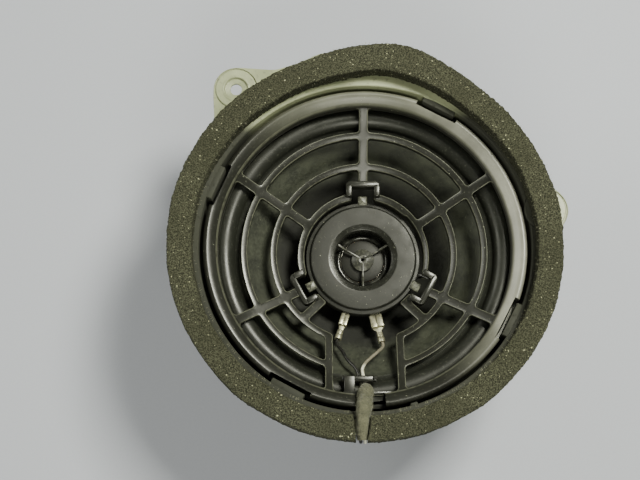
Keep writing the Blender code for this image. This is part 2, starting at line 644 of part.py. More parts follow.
def grille_carrier():
    body = turned("grille_carrier", carrier_profile(), painted("grille_carrier", BLACK_PLASTIC, 0.32))
    low = dish_top(INNER_RING[0]) - INNER_RING_SKIRT - 0.002
    high = FLANGE_FRONT_Z + 0.002
    openings = [prism(f"window_{number}", outline, low, high, fillet=WINDOW_FILLET)
                for number, outline in enumerate(grille_windows(), 1)]
    combine(body, together("grille_windows", openings), "DIFFERENCE")

    top = dish_top(POCKET_OUTER_RADIUS)
    frames, cuts = [], []
    for angle in POCKET_ANGLES:
        frame = prism(f"pocket_{angle}_blank", [
            (INNER_RING[0] + 0.0004, -POCKET_HALF_WIDTH), (POCKET_OUTER_RADIUS, -POCKET_HALF_WIDTH),
            (POCKET_OUTER_RADIUS, POCKET_HALF_WIDTH), (INNER_RING[0] + 0.0004, POCKET_HALF_WIDTH),
        ], top - POCKET_HEIGHT, top + 0.0003, fillet=0.0022)
        frame.data.transform(Matrix.Rotation(math.radians(angle), 4, "Z"))
        frames.append(frame)
        cuts.append(block(f"pocket_{angle}_recess",
                          (INNER_RING[0] - 0.004, POCKET_OUTER_RADIUS - POCKET_WALL),
                          (-POCKET_HALF_WIDTH + POCKET_WALL, POCKET_HALF_WIDTH - POCKET_WALL),
                          (low, top + 0.003), turn=angle))
    combine(body, together("pocket_frames", frames), "UNION")
    for angle in HOOK_ANGLES:
        cuts.append(block(f"slot_{angle}", (SLOT_INNER_RADIUS, RIM_OUTER_RADIUS + 0.002),
                          (-SLOT_WIDTH / 2, SLOT_WIDTH / 2), (FLANGE_FRONT_Z - SLOT_FLOOR_DEPTH, high),
                          turn=angle))
    cuts.append(block("lead_channel", CHANNEL, (-RIM_OUTER_RADIUS - 0.002, -RIM_INNER_RADIUS + 0.0005),
                      (FLANGE_FRONT_Z - CHANNEL_DEPTH, high)))
    combine(body, together("recesses", cuts), "DIFFERENCE")
    step = prism("inner_ring_step", [Vector((0, 0)),
                                     *arc((0, 0), INNER_RING[0] + STEP_WIDTH, *STEP_ANGLES, 14)],
                 low, high)
    combine(body, step, "DIFFERENCE")

    left, right = SHORT_SPOKE_ANGLES
    mouth = window_outline(INNER_RING[0] - 0.003, RING_2[0] + 0.0004, (left, SPOKE_HALF_WIDTH),
                           (right, SPOKE_HALF_WIDTH))
    combine(body, prism("wire_mouth", mouth, low - 0.001, high), "DIFFERENCE")
    side = WINDOW_HALF_WIDTH
    notch = FINGER_LEG[0] - 0.0003
    wire_window = prism("wire_window", [
        (side, -0.036), (-side, -0.036), (-side, -WINDOW_NOTCH_END), (notch, -WINDOW_NOTCH_END),
        (notch, -WINDOW_END), (side, -WINDOW_END),
    ], low, high, fillet=0.0008)
    combine(body, wire_window, "DIFFERENCE")

    x0, x1, y0, y1 = FINGER_BAR
    bar_top = dish_top(-y0) + 0.0001
    leg = block("finger_leg", FINGER_LEG, (-RIM_INNER_RADIUS - 0.0006, y1 - 0.0004),
                (bar_top - 0.0011, bar_top + 0.0020))
    combine(body, leg, "UNION")
    bar = block("finger_bar", (x0, x1), (y0, y1), (bar_top - 0.0019, bar_top))
    combine(body, bar, "UNION")
    barb = block("finger_barb", (x1 - 0.0016, x1 + 0.0001), (y0 + 0.0002, y1 - 0.0002),
                 (bar_top - 0.001, bar_top + 0.0014))
    combine(body, barb, "UNION")


# ---- Tweeter ----

def tweeter_face():
    face, tier = TWEETER_FACE_Z, TIER_Z
    throat_end = DOME_Z + 0.0012
    bottom = tier - 0.0014
    tip = face - PLUG_TIP_DEPTH
    body = turned("tweeter_face", [
        (TWEETER_RADIUS, bottom), (TWEETER_RADIUS, tier), (TWEETER_FACE_RADIUS + 0.0004, face - 0.0004),
        (TWEETER_FACE_RADIUS, face), (HORN_MOUTH_RADIUS + 0.0003, face - 0.0001),
        (HORN_MOUTH_RADIUS, face - 0.0003),
        (HORN_THROAT_RADIUS, face - HORN_CHAMFER_DEPTH), (HORN_THROAT_RADIUS - 0.0003, throat_end),
        (HORN_THROAT_RADIUS + 0.0018, throat_end), (HORN_THROAT_RADIUS + 0.0018, bottom),
    ], painted("tweeter_face", BLACK_PLASTIC, 0.5))
    for angle in POCKET_ANGLES:
        barb = block(f"barb_{angle}_blank", (TWEETER_RADIUS - 0.0012, TWEETER_RADIUS + BARB_REACH),
                     (-BARB_WIDTH / 2, BARB_WIDTH / 2), (bottom + 0.0002, tier + 0.0006), turn=angle)
        combine(body, barb, "UNION")
    plug = turned("plug_blank", [
        (0, tip), (PLUG_TIP_RADIUS, tip), (PLUG_RADIUS, tip - PLUG_HEIGHT * 0.8),
        (PLUG_RADIUS, tip - PLUG_HEIGHT),
        (0, tip - PLUG_HEIGHT),
    ], steps=MEDIUM_STEPS)
    for angle in FIN_ANGLES:
        fin = block(f"fin_{angle}_blank", (PLUG_TIP_RADIUS * 0.4, HORN_THROAT_RADIUS + 0.0010),
                    (-FIN_THICKNESS / 2, FIN_THICKNESS / 2),
                    (tip - PLUG_HEIGHT + 0.0004, tip - 0.0004), turn=angle)
        rise = block(f"fin_{angle}_rise", (PLUG_RADIUS - 0.0004, HORN_THROAT_RADIUS + 0.0012),
                     (-FIN_THICKNESS / 2 + 0.00002, FIN_THICKNESS / 2 - 0.00002),
                     (tip - 0.0008, face - HORN_CHAMFER_DEPTH * 0.8), turn=angle)
        combine(body, fin, "UNION")
        combine(body, rise, "UNION")
    combine(body, plug, "UNION")
    hole = cylinder("plug_hole", PLUG_HOLE_RADIUS, (0, 0, tip - 0.005), (0, 0, tip + 0.002), steps=12)
    combine(body, hole, "DIFFERENCE")


def tweeter_housing():
    plastic = painted("tweeter_rear_housing", BLACK_PLASTIC, 0.45)
    top = TIER_Z - 0.0014 - CLEARANCE
    floor = DOME_Z - CLEARANCE
    back = floor - TWEETER_CUP_HEIGHT + 0.0006
    cup = TWEETER_CUP_RADIUS + CLEARANCE
    body = turned("tweeter_rear_housing", [
        (cup, back), (HOUSING_BACK_RADIUS, back), (HOUSING_BACK_RADIUS + 0.001, back + 0.001),
        (HOUSING_BACK_RADIUS + 0.001, floor - 0.0018), (TWEETER_RADIUS - 0.001, floor - 0.0012),
        (TWEETER_RADIUS, floor), (TWEETER_RADIUS, top), (TWEETER_RADIUS - HOUSING_WALL, top),
        (TWEETER_RADIUS - HOUSING_WALL, floor + 0.0010), (DOME_LIP_RADIUS + 0.0004, floor + 0.0010),
        (DOME_LIP_RADIUS + 0.0004, floor), (cup, floor),
    ], plastic)
    for angle, tab_width, _, _ in (NARROW_TERMINAL, WIDE_TERMINAL):
        slot = block(f"tab_slot_{-angle:.0f}", (TWEETER_RADIUS - 0.004, TWEETER_RADIUS + 0.002),
                     (-tab_width / 2 - CLEARANCE, tab_width / 2 + CLEARANCE),
                     (TAB_Z - 0.0010, TAB_Z + 0.0011), turn=angle)
        combine(body, slot, "DIFFERENCE")


def tweeter_motor():
    floor = DOME_Z - CLEARANCE
    bottom = floor - TWEETER_CUP_HEIGHT
    steel = painted("tweeter_yoke_cup", ZINC, 0.35, 0.9)
    inside = TWEETER_CUP_RADIUS - TWEETER_CUP_WALL
    turned("tweeter_yoke_cup", [
        (0, bottom), (TWEETER_CUP_RADIUS - 0.0005, bottom), (TWEETER_CUP_RADIUS, bottom + 0.0005),
        (TWEETER_CUP_RADIUS, floor - 0.0001), (inside, floor - 0.0001), (inside, bottom + TWEETER_CUP_WALL),
        (0, bottom + TWEETER_CUP_WALL),
    ], steel, MEDIUM_STEPS)
    magnet = bottom + TWEETER_CUP_WALL + CLEARANCE
    disc("tweeter_magnet", TWEETER_MAGNET_RADIUS, magnet, magnet + TWEETER_MAGNET_THICKNESS,
         painted("tweeter_magnet", ZINC, 0.25, 0.9))
    plate = magnet + TWEETER_MAGNET_THICKNESS + CLEARANCE
    disc("tweeter_pole_plate", TWEETER_MAGNET_RADIUS + 0.0003, plate, plate + TWEETER_PLATE_THICKNESS,
         painted("tweeter_pole_plate", ZINC, 0.35, 0.9))


def disc(name, radius, bottom, top, material):
    return turned(name, [(0, bottom), (radius, bottom), (radius, top), (0, top)], material, MEDIUM_STEPS)


def tweeter_diaphragm():
    edge = DOME_Z + CLEARANCE
    cap = [(DOME_RADIUS * (1 - i / 4), edge + DOME_RISE * (1 - (1 - i / 4) ** 2)) for i in range(5)]
    turned("tweeter_dome", cap + [(r, z - DOME_WALL) for r, z in reversed(cap)],
           painted("tweeter_dome", CONE_GREY, 0.5), MEDIUM_STEPS)
    coil_top = edge - DOME_WALL - CLEARANCE
    outer = DOME_RADIUS - 0.0002
    turned("tweeter_coil", [
        (outer - TWEETER_COIL_WALL, coil_top - TWEETER_COIL_HEIGHT),
        (outer, coil_top - TWEETER_COIL_HEIGHT),
        (outer, coil_top), (outer - TWEETER_COIL_WALL, coil_top),
    ], painted("tweeter_coil", COPPER, 0.35, 0.8), MEDIUM_STEPS)
    start = DOME_RADIUS + CLEARANCE
    roll = [(start + (DOME_ROLL_RADIUS - start) * i / 6,
             edge - DOME_WALL + DOME_ROLL_RISE * math.sin(math.pi * i / 6))
            for i in range(7)]
    outline = [*roll, (DOME_LIP_RADIUS, edge - DOME_WALL)]
    turned("tweeter_surround", outline + [(r, z + DOME_WALL) for r, z in reversed(outline)],
           painted("tweeter_surround", RUBBER_BLACK, 0.2), MEDIUM_STEPS)


def terminal_frame(name, angle):
    """Empty at a tab's root on the housing's wall: +X runs outward and up the tab's slope."""
    empty = bpy.data.objects.new(name, None)
    bpy.context.scene.collection.objects.link(empty)
    root = polar(TWEETER_RADIUS + 0.0004, angle)
    empty.location = (root.x, root.y, TAB_Z)
    empty.rotation_euler = (0, -math.radians(TAB_SLOPE_DEGREES), math.radians(angle))
    return empty


def tweeter_terminal(kind, terminal):
    """A bent tab and the crimp receptacle pushed on it."""
    angle, tab_width, width, length = terminal
    frame = terminal_frame(f"{kind}_terminal_frame", angle)
    flat = TAB_THICKNESS / 2
    tab = block(f"tweeter_tab_{kind}", (-0.0002, 0.0068), (-tab_width / 2, tab_width / 2), (-flat, flat),
                painted(f"tweeter_tab_{kind}", TIN, 0.3, 0.9))
    slope = math.radians(TAB_SLOPE_DEGREES)
    root = block(f"tab_root_{kind}", (-0.0050, 0.0002), (-tab_width / 2, tab_width / 2), (-flat, flat))
    root.data.transform(Matrix.Rotation(slope, 4, "Y"))
    combine(tab, root, "UNION")

    tin = painted(f"receptacle_{kind}", TIN, 0.35, 0.9)
    tall = RECEPTACLE_HEIGHT / 2
    box_end = length * 0.46
    body = prism(f"receptacle_{kind}", [
        (0.0004, -width / 2), (box_end, -width / 2), (box_end + 0.0012, -0.0013), (length * 0.66, -0.0013),
        (length * 0.66, 0.0013), (box_end + 0.0012, 0.0013), (box_end, width / 2), (0.0004, width / 2),
    ], -tall, tall, tin)
    slot = block(f"receptacle_{kind}_slot", (-0.001, 0.0071),
                 (-tab_width / 2 - CLEARANCE, tab_width / 2 + CLEARANCE),
                 (-flat - CLEARANCE, flat + CLEARANCE))
    combine(body, slot, "DIFFERENCE")
    barrel = cylinder(f"receptacle_{kind}_barrel", 0.0017, (length * 0.62, 0, 0.0002),
                      (length, 0, 0.0002), steps=14)
    combine(body, barrel, "UNION")
    bore = cylinder(f"receptacle_{kind}_bore", LEAD_RADIUS + CLEARANCE, (length - 0.0030, 0, 0.0002),
                    (length + 0.002, 0, 0.0002), steps=12)
    combine(body, bore, "DIFFERENCE")
    for obj in (tab, root, body, slot, barrel, bore):
        obj.parent = frame
    return frame


# ---- Leads ----

SLEEVE_ROUTE = [(0.0001, -0.0656, FLANGE_FRONT_Z + 1.5 * SLEEVE_RADIUS - 0.0104),
                (-0.0006, -0.0705, FLANGE_FRONT_Z + 1.5 * SLEEVE_RADIUS - 0.0056),
                (-0.0013, -0.0760, FLANGE_FRONT_Z + SLEEVE_RADIUS + 0.0012),
                (-0.0020, -0.0825, FLANGE_FRONT_Z + SLEEVE_RADIUS + 0.0024),
                (-0.0019, -0.0898, FLANGE_FRONT_Z + SLEEVE_RADIUS + 0.0019)]
NARROW_LEAD_ROUTE = [(-0.0105, -0.0462, FLANGE_FRONT_Z - 0.0235),
                     (-0.0079, -0.0511, FLANGE_FRONT_Z - 0.0195),
                     (-0.0042, -0.0556, FLANGE_FRONT_Z - 0.0163),
                     (-0.0026, -0.0605, FLANGE_FRONT_Z - 0.0142),
                     (-0.0020, -0.0631, FLANGE_FRONT_Z - 0.0128),
                     (-0.0014, -0.0648, FLANGE_FRONT_Z - 0.0090)]
WIDE_LEAD_ROUTE = [(0.0062, -0.0470, FLANGE_FRONT_Z - 0.0225), (0.0033, -0.0497, FLANGE_FRONT_Z - 0.0203),
                   (0.0003, -0.0528, FLANGE_FRONT_Z - 0.0180), (-0.0012, -0.0560, FLANGE_FRONT_Z - 0.0160),
                   (-0.0006, -0.0605, FLANGE_FRONT_Z - 0.0142), (0.0001, -0.0631, FLANGE_FRONT_Z - 0.0128),
                   (0.0007, -0.0648, FLANGE_FRONT_Z - 0.0090)]
REAR_ROUTE = [(-0.0018, -FLANGE_RADIUS - 0.0005, FLANGE_FRONT_Z + 0.0033),
              (-0.0018, -FLANGE_RADIUS - 0.0003, FLANGE_FRONT_Z + 0.0010),
              (-0.0018, -FLANGE_RADIUS + 0.0006, FLANGE_FRONT_Z - 0.0020),
              (-0.0019, -FLANGE_RADIUS + 0.0020, FLANGE_FRONT_Z - 0.0085),
              (-0.0024, -FLANGE_RADIUS + 0.0028, FLANGE_FRONT_Z - 0.0205),
              (-0.0030, -0.0850, BOARD_TOP_Z + 0.0055),
              (-0.0032, -0.0815, BOARD_TOP_Z - 0.0030)]


def barrel_mouth(frame, terminal):
    """Point just inside a receptacle's crimp barrel, and the way out of it."""
    bpy.context.view_layer.update()
    length = terminal[3]
    start = frame.matrix_world @ Vector((length - 0.0024, 0, 0.0002))
    beyond = frame.matrix_world @ Vector((length + 0.0022, 0, 0.0004))
    return start, beyond


def beside(route, offset):
    """The route moved sideways along X."""
    return [Vector((x + offset, y, z)) for x, y, z in route]


def fleece_sleeve():
    """Felt wrap as a tube with a bore that both leads run through."""
    path = smooth_path(SLEEVE_ROUTE, 12)
    builder = bmesh.new()
    rings = []
    for i, place in enumerate(path):
        ahead = (path[min(i + 1, len(path) - 1)] - path[max(i - 1, 0)]).normalized()
        across = Vector((1, 0, 0))
        up = across.cross(ahead).normalized()
        across = ahead.cross(up)
        ring = []
        for radius in (SLEEVE_RADIUS, SLEEVE_BORE_RADIUS):
            ring.append([builder.verts.new(place + radius * (math.cos(t) * across + math.sin(t) * up))
                         for t in (2 * math.pi * k / 16 for k in range(16))])
        rings.append(ring)
    for skin in (0, 1):
        for first, second in zip(rings, rings[1:]):
            for k in range(16):
                builder.faces.new((first[skin][k - 1], first[skin][k], second[skin][k],
                                   second[skin][k - 1]))
    for end in (rings[0], rings[-1]):
        for k in range(16):
            builder.faces.new((end[0][k - 1], end[0][k], end[1][k], end[1][k - 1]))
    add_object("fleece_sleeve", builder, painted("fleece_sleeve", FLEECE, 0.95))


def tweeter_leads(narrow_frame, wide_frame):
    black = painted("lead_black", RUBBER_BLACK, 0.35)
    white = painted("lead_white", WHITE, 0.4)
    for name, frame, terminal, route, side, material in (
            ("lead_black", narrow_frame, NARROW_TERMINAL, NARROW_LEAD_ROUTE, -0.5, black),
            ("lead_white", wide_frame, WIDE_TERMINAL, WIDE_LEAD_ROUTE, 0.5, white)):
        start, beyond = barrel_mouth(frame, terminal)
        offset = side * LEAD_PITCH
        points = [start, beyond, *route, *beside(SLEEVE_ROUTE, offset), *beside(REAR_ROUTE, offset)]
        connector_face = BOARD_OUTER_Y - 0.0018 - 4 * CLEARANCE
        points.append(Vector((REAR_ROUTE[-1][0] + offset, connector_face, BOARD_TOP_Z - 0.0055)))
        tube(name, smooth_path(points, 60), LEAD_RADIUS, material)


def tinsel_leads():
    braid = painted("tinsel_lead", COPPER, 0.5, 0.7)
    for name, side in (("tinsel_lead_positive", 1), ("tinsel_lead_negative", -1)):
        radius = 0.0290
        back_of_cone = cone_height(radius) - CONE_WALL * 1.3 - CLEARANCE - TINSEL_RADIUS
        points = [(side * 0.0055, -0.0462, 0.0335), (side * 0.0056, -0.0425, 0.0300),
                  (side * 0.0058, -0.0370, 0.0285),
                  (side * 0.0060, -0.0320, 0.0305), (side * 0.0060, -0.0284, back_of_cone - 0.0006)]
        tube(name, smooth_path(points, 16), TINSEL_RADIUS, braid)


def rear_terminals():
    x, y, z = BOARD_SIZE
    board = block("terminal_board", (-x / 2, x / 2), (BOARD_OUTER_Y, BOARD_OUTER_Y + y),
                  (BOARD_TOP_Z - z, BOARD_TOP_Z),
                  painted("terminal_board", (0.20, 0.12, 0.05), 0.6))
    rivet = painted("terminal_rivet", ZINC, 0.3, 0.9)
    for number, side in enumerate((-1, 1), 1):
        place = (side * RIVET_OFFSET, RIVET_Y)
        hole = cylinder(f"board_hole_{number}", RIVET_RADIUS + CLEARANCE, (*place, BOARD_TOP_Z - z - 0.001),
                        (*place, BOARD_TOP_Z + 0.001))
        combine(board, hole, "DIFFERENCE")
        shank = cylinder(f"terminal_rivet_{number}", RIVET_RADIUS, (*place, BOARD_TOP_Z - z - 0.0008),
                         (*place, BOARD_TOP_Z + 2 * CLEARANCE + WALL + 0.0008), rivet)
        for end, low, high in (("head", BOARD_TOP_Z - z - 0.0012, BOARD_TOP_Z - z - CLEARANCE),
                               ("tail", BOARD_TOP_Z + 2 * CLEARANCE + WALL,
                                BOARD_TOP_Z + 2 * CLEARANCE + WALL + 0.0010)):
            cap = cylinder(f"terminal_rivet_{number}_{end}", RIVET_RADIUS * 1.7, (*place, low),
                           (*place, high))
            combine(shank, cap, "UNION")

    width, deep, tall = CONNECTOR_SIZE
    top = BOARD_TOP_Z - z - CLEARANCE
    outer = BOARD_OUTER_Y - 0.0018
    housing = block("connector_housing", (-width / 2 + 0.0012, width / 2 - 0.0012), (outer, outer + deep),
                    (top - tall, top),
                    painted("connector_housing", BLACK_PLASTIC, 0.5))
    cavity = block("connector_cavity", (-width / 2 + 0.0024, width / 2 - 0.0024),
                   (outer + 0.0012, outer + deep - 0.0012),
                   (top - tall - 0.001, top - 0.0025))
    combine(housing, cavity, "DIFFERENCE")
    pin = painted("connector_pin", TIN, 0.3, 0.9)
    for number in range(4):
        at = -0.0054 + 0.0036 * number
        block(f"connector_pin_{number + 1}", (at - PIN_SIZE[0] / 2, at + PIN_SIZE[0] / 2),
              (outer + deep / 2 - PIN_SIZE[1] / 2, outer + deep / 2 + PIN_SIZE[1] / 2),
              (top - 0.0025 - CLEARANCE - PIN_SIZE[2] + 0.0014, top - 0.0025 - CLEARANCE), pin)
    middle = BOARD_OUTER_Y + BOARD_SIZE[1] + CLEARANCE + CAPACITOR_RADIUS
    low = BOARD_TOP_Z - CAPACITOR_RADIUS - 0.0105
    cylinder("crossover_capacitor", CAPACITOR_RADIUS, (-CAPACITOR_LENGTH / 2, middle, low),
             (CAPACITOR_LENGTH / 2, middle, low),
             painted("crossover_capacitor", (0.03, 0.05, 0.16), 0.35), 24)


clear_scene()
chassis()
foam_gasket()
motor()
moving_group()
grille_carrier()
tweeter_face()
tweeter_housing()
tweeter_motor()
tweeter_diaphragm()
narrow_end = tweeter_terminal("narrow", NARROW_TERMINAL)
wide_end = tweeter_terminal("wide", WIDE_TERMINAL)
fleece_sleeve()
tweeter_leads(narrow_end, wide_end)
tinsel_leads()
rear_terminals()
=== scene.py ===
import math
import random

import bmesh
import bpy
from mathutils import Matrix, Vector, noise


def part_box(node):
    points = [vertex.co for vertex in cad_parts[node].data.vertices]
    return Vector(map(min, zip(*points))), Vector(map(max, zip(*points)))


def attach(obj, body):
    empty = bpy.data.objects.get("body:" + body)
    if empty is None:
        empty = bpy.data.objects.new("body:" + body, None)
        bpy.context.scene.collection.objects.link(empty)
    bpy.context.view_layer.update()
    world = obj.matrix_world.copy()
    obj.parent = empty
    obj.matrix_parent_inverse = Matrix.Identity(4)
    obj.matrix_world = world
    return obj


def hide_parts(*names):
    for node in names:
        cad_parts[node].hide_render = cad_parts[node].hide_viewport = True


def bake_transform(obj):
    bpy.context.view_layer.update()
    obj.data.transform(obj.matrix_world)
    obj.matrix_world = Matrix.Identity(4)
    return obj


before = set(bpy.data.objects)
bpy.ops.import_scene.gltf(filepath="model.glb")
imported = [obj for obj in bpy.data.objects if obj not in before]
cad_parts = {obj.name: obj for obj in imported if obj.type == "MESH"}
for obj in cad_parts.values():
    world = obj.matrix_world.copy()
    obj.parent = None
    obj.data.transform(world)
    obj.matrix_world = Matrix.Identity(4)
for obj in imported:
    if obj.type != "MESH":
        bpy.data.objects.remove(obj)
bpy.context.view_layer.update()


# ---- Camera, floor and light ----
# A short telephoto looks down on the speaker from a little below its middle. A pale floor
# carries it, and one soft box at the upper right does most of the lighting.

camera = bpy.data.objects.new("camera", bpy.data.cameras.new("camera"))
camera.data.lens = 69.3
camera.data.sensor_width = 36
camera.location = (-0.0208, -0.1268, 0.6327)
camera.rotation_euler = (math.radians(13.1), 0, 0)
bpy.context.scene.collection.objects.link(camera)
bpy.context.scene.camera = camera


def softbox(name, azimuth, elevation, distance, size, watts, colour):
    """A square area light that faces the speaker's middle."""
    lamp = bpy.data.lights.new(name, "AREA")
    lamp.size = size
    lamp.energy = watts
    lamp.color = colour
    obj = bpy.data.objects.new(name, lamp)
    turn, tilt = math.radians(azimuth), math.radians(elevation)
    way = Vector((math.cos(turn) * math.cos(tilt), math.sin(turn) * math.cos(tilt), math.sin(tilt)))
    obj.location = way * distance + Vector((0, 0, 0.06))
    obj.rotation_euler = way.to_track_quat("Z", "Y").to_euler()
    bpy.context.scene.collection.objects.link(obj)


softbox("key", 42, 60, 0.95, 0.28, 18.0, (1.0, 1.0, 0.84))
softbox("front", 276, 46, 1.15, 0.50, 8.0, (1.0, 1.0, 0.84))
softbox("side", 160, 30, 1.1, 0.55, 6.0, (1.0, 1.0, 0.88))
sky = bpy.data.worlds.new("sky")
sky.use_nodes = True
sky.node_tree.nodes["Background"].inputs["Color"].default_value = (0.80, 0.84, 0.88, 1)
sky.node_tree.nodes["Background"].inputs["Strength"].default_value = 0.07
bpy.context.scene.world = sky


class Socket:
    """An output of a finish's node tree; a sum or product on it adds a Math node."""

    def __init__(self, finish, link):
        self.finish = finish
        self.link = link

    def maths(self, operation, first, second):
        return self.finish.node("ShaderNodeMath", {"operation": operation}, {0: first, 1: second})

    def __add__(self, other):
        return self.maths("ADD", self, other)

    def __sub__(self, other):
        return self.maths("SUBTRACT", self, other)

    def __rsub__(self, other):
        return self.maths("SUBTRACT", other, self)

    def __mul__(self, other):
        return self.maths("MULTIPLY", self, other)

    __radd__ = __add__
    __rmul__ = __mul__


class Finish:
    """A material with its own node tree around one Principled shader."""

    def __init__(self, name, **constants):
        self.material = bpy.data.materials.new(name)
        self.material.use_nodes = True
        self.tree = self.material.node_tree
        self.shader = self.tree.nodes["Principled BSDF"]
        for key, value in constants.items():
            self.shader.inputs[key.replace("_", " ").title().replace("Ior", "IOR")].default_value = value
        self.place = self.node("ShaderNodeTexCoord", output="Object")

    def feed(self, socket, value):
        if isinstance(value, Socket):
            self.tree.links.new(value.link, socket)
        elif socket.type == "RGBA":
            socket.default_value = (*value, 1.0)
        else:
            socket.default_value = value

    def node(self, kind, settings=None, values=None, output=0):
        """Any node: its type, its settings first, then the values or links of its sockets."""
        made = self.tree.nodes.new(kind)
        for key, value in (settings or {}).items():
            setattr(made, key, value)
        for key, value in (values or {}).items():
            self.feed(made.inputs[key], value)
        return Socket(self, made.outputs[output])

    def grain(self, scale, detail=3.0, roughness=0.55):
        return self.node("ShaderNodeTexNoise", {}, {"Vector": self.place, "Scale": scale, "Detail": detail,
                                                    "Roughness": roughness})

    def cells(self, scale, output="Distance", feature="F1"):
        values = {"Vector": self.place, "Scale": scale}
        return self.node("ShaderNodeTexVoronoi", {"feature": feature}, values, output)

    def along(self, degrees):
        """Distance from the speaker's axis, measured in one direction only."""
        way = (math.cos(math.radians(degrees)), math.sin(math.radians(degrees)), 0)
        settings = {"operation": "DOT_PRODUCT"}
        return self.node("ShaderNodeVectorMath", settings, {0: self.place, 1: way}, "Value")

    def radius(self):
        """Distance from the speaker's axis."""
        flat = self.node("ShaderNodeVectorMath", {"operation": "MULTIPLY"}, {0: self.place, 1: (1, 1, 0)})
        return self.node("ShaderNodeVectorMath", {"operation": "LENGTH"}, {0: flat}, "Value")

    def between(self, value, low, high):
        """A smooth mask, 0 below low and 1 above high."""
        return self.node("ShaderNodeMapRange", {"interpolation_type": "SMOOTHSTEP"},
                         {"Value": value, "From Min": low, "From Max": high})

    def mix(self, mask, first, second):
        return self.node("ShaderNodeMix", {"data_type": "RGBA"}, {0: mask, 6: first, 7: second}, 2)

    def relief(self, height, metres, strength=1.0):
        bump = self.node("ShaderNodeBump", {}, {"Height": height, "Distance": metres, "Strength": strength})
        self.paint("Normal", bump)

    def paint(self, socket, value):
        self.feed(self.shader.inputs[socket], value)


studio_paper = Finish("studio_paper", roughness=0.9)
paper_grain = studio_paper.grain(900.0)
studio_paper.paint("Base Color", studio_paper.mix(paper_grain, (0.37, 0.385, 0.45), (0.41, 0.425, 0.49)))
floor_shape = bmesh.new()
bmesh.ops.create_grid(floor_shape, x_segments=2, y_segments=2, size=3.0)
bmesh.ops.translate(floor_shape, verts=floor_shape.verts, vec=(0, 0, -0.0001))
floor_mesh = bpy.data.meshes.new("floor")
floor_shape.to_mesh(floor_mesh)
floor_shape.free()
floor_mesh.materials.append(studio_paper.material)
floor = bpy.data.objects.new("floor", floor_mesh)
bpy.context.scene.collection.objects.link(floor)


# ---- Motor ----
# Back plate with its pole, ferrite ring and front plate, glued in a stack. The steel is turned and
# zinc plated; the ferrite is pressed and fired, ground on both faces and left rough on its rim.

def rounded(corners, radius, steps=3):
    """A closed outline with each corner swept in a small arc; a third value sets a corner's own radius."""
    outline = []
    for i, corner in enumerate(corners):
        here = Vector(corner[:2])
        before = Vector(corners[i - 1][:2]) - here
        after = Vector(corners[(i + 1) % len(corners)][:2]) - here
        reach = min(corner[2] if len(corner) > 2 else radius, 0.45 * before.length, 0.45 * after.length)
        if here.x < 1e-9 and reach < 0.001 and (abs(before.x) < 1e-9 or abs(after.x) < 1e-9):
            reach = 0
        if reach < 1e-6:
            outline.append(here)
            continue
        first, last = here + before.normalized() * reach, here + after.normalized() * reach
        for k in range(steps + 1):
            t = k / steps
            outline.append((1 - t) ** 2 * first + 2 * t * (1 - t) * here + t * t * last)
    return [(p.x, p.y) for p in outline]


def lathe(profile, steps=144):
    """A closed profile of (radius, height) points spun about the Z axis."""
    shape = bmesh.new()
    verts = [shape.verts.new((radius, 0, height)) for radius, height in profile]
    edges = [shape.edges.new((verts[i - 1], verts[i])) for i in range(len(verts))
             if profile[i - 1][0] > 1e-7 or profile[i][0] > 1e-7]
    bmesh.ops.spin(shape, geom=verts + edges, axis=(0, 0, 1), cent=(0, 0, 0), angle=math.tau, steps=steps,
                   use_merge=True)
    bmesh.ops.remove_doubles(shape, verts=shape.verts, dist=1e-6)
    bmesh.ops.recalc_face_normals(shape, faces=shape.faces)
    return shape


def fitted(name, shape, finish, body="chassis", nodes=(), sharp=40):
    """The finished piece on its body, in place of the solids it stands for."""
    mesh = bpy.data.meshes.new(name)
    shape.to_mesh(mesh)
    shape.free()
    mesh.shade_smooth()
    mesh.set_sharp_from_angle(angle=math.radians(sharp))
    mesh.materials.append(finish.material)
    obj = bpy.data.objects.new(name, mesh)
    bpy.context.scene.collection.objects.link(obj)
    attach(obj, body)
    if nodes:
        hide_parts(*nodes)
    return obj


def refinish(finish, *nodes):
    """Gives solids that stay their detailed material."""
    for node in nodes:
        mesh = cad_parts[node].data
        mesh.materials.clear()
        mesh.materials.append(finish.material)


zinc_plate = Finish("zinc_plate", metallic=1.0, roughness=0.38)
zinc_cloud = zinc_plate.between(zinc_plate.grain(160.0, 5.0), 0.35, 0.7)
zinc_spots = zinc_plate.between(zinc_plate.grain(900.0, 3.0), 0.62, 0.72)
zinc_plate.paint("Base Color", zinc_plate.mix(
    zinc_spots, zinc_plate.mix(zinc_cloud, (0.46, 0.45, 0.41), (0.60, 0.59, 0.55)), (0.24, 0.22, 0.18)))
zinc_plate.paint("Roughness", 0.30 + zinc_cloud * 0.16 + zinc_spots * 0.22)
zinc_plate.relief(zinc_plate.grain(2600.0, 2.0), 0.00004, 0.5)

ferrite = Finish("ferrite", roughness=0.6)
ferrite_grain = ferrite.grain(1500.0, 4.0)
ferrite_chips = ferrite.between(ferrite.cells(420.0), 0.05, 0.16)
ferrite.paint("Base Color", ferrite.mix(ferrite_grain, (0.020, 0.020, 0.022), (0.060, 0.060, 0.062)))
ferrite.paint("Roughness", 0.45 + ferrite_grain * 0.3)
ferrite.relief(ferrite_grain * 0.5 + ferrite_chips * 0.5, 0.00012, 0.7)

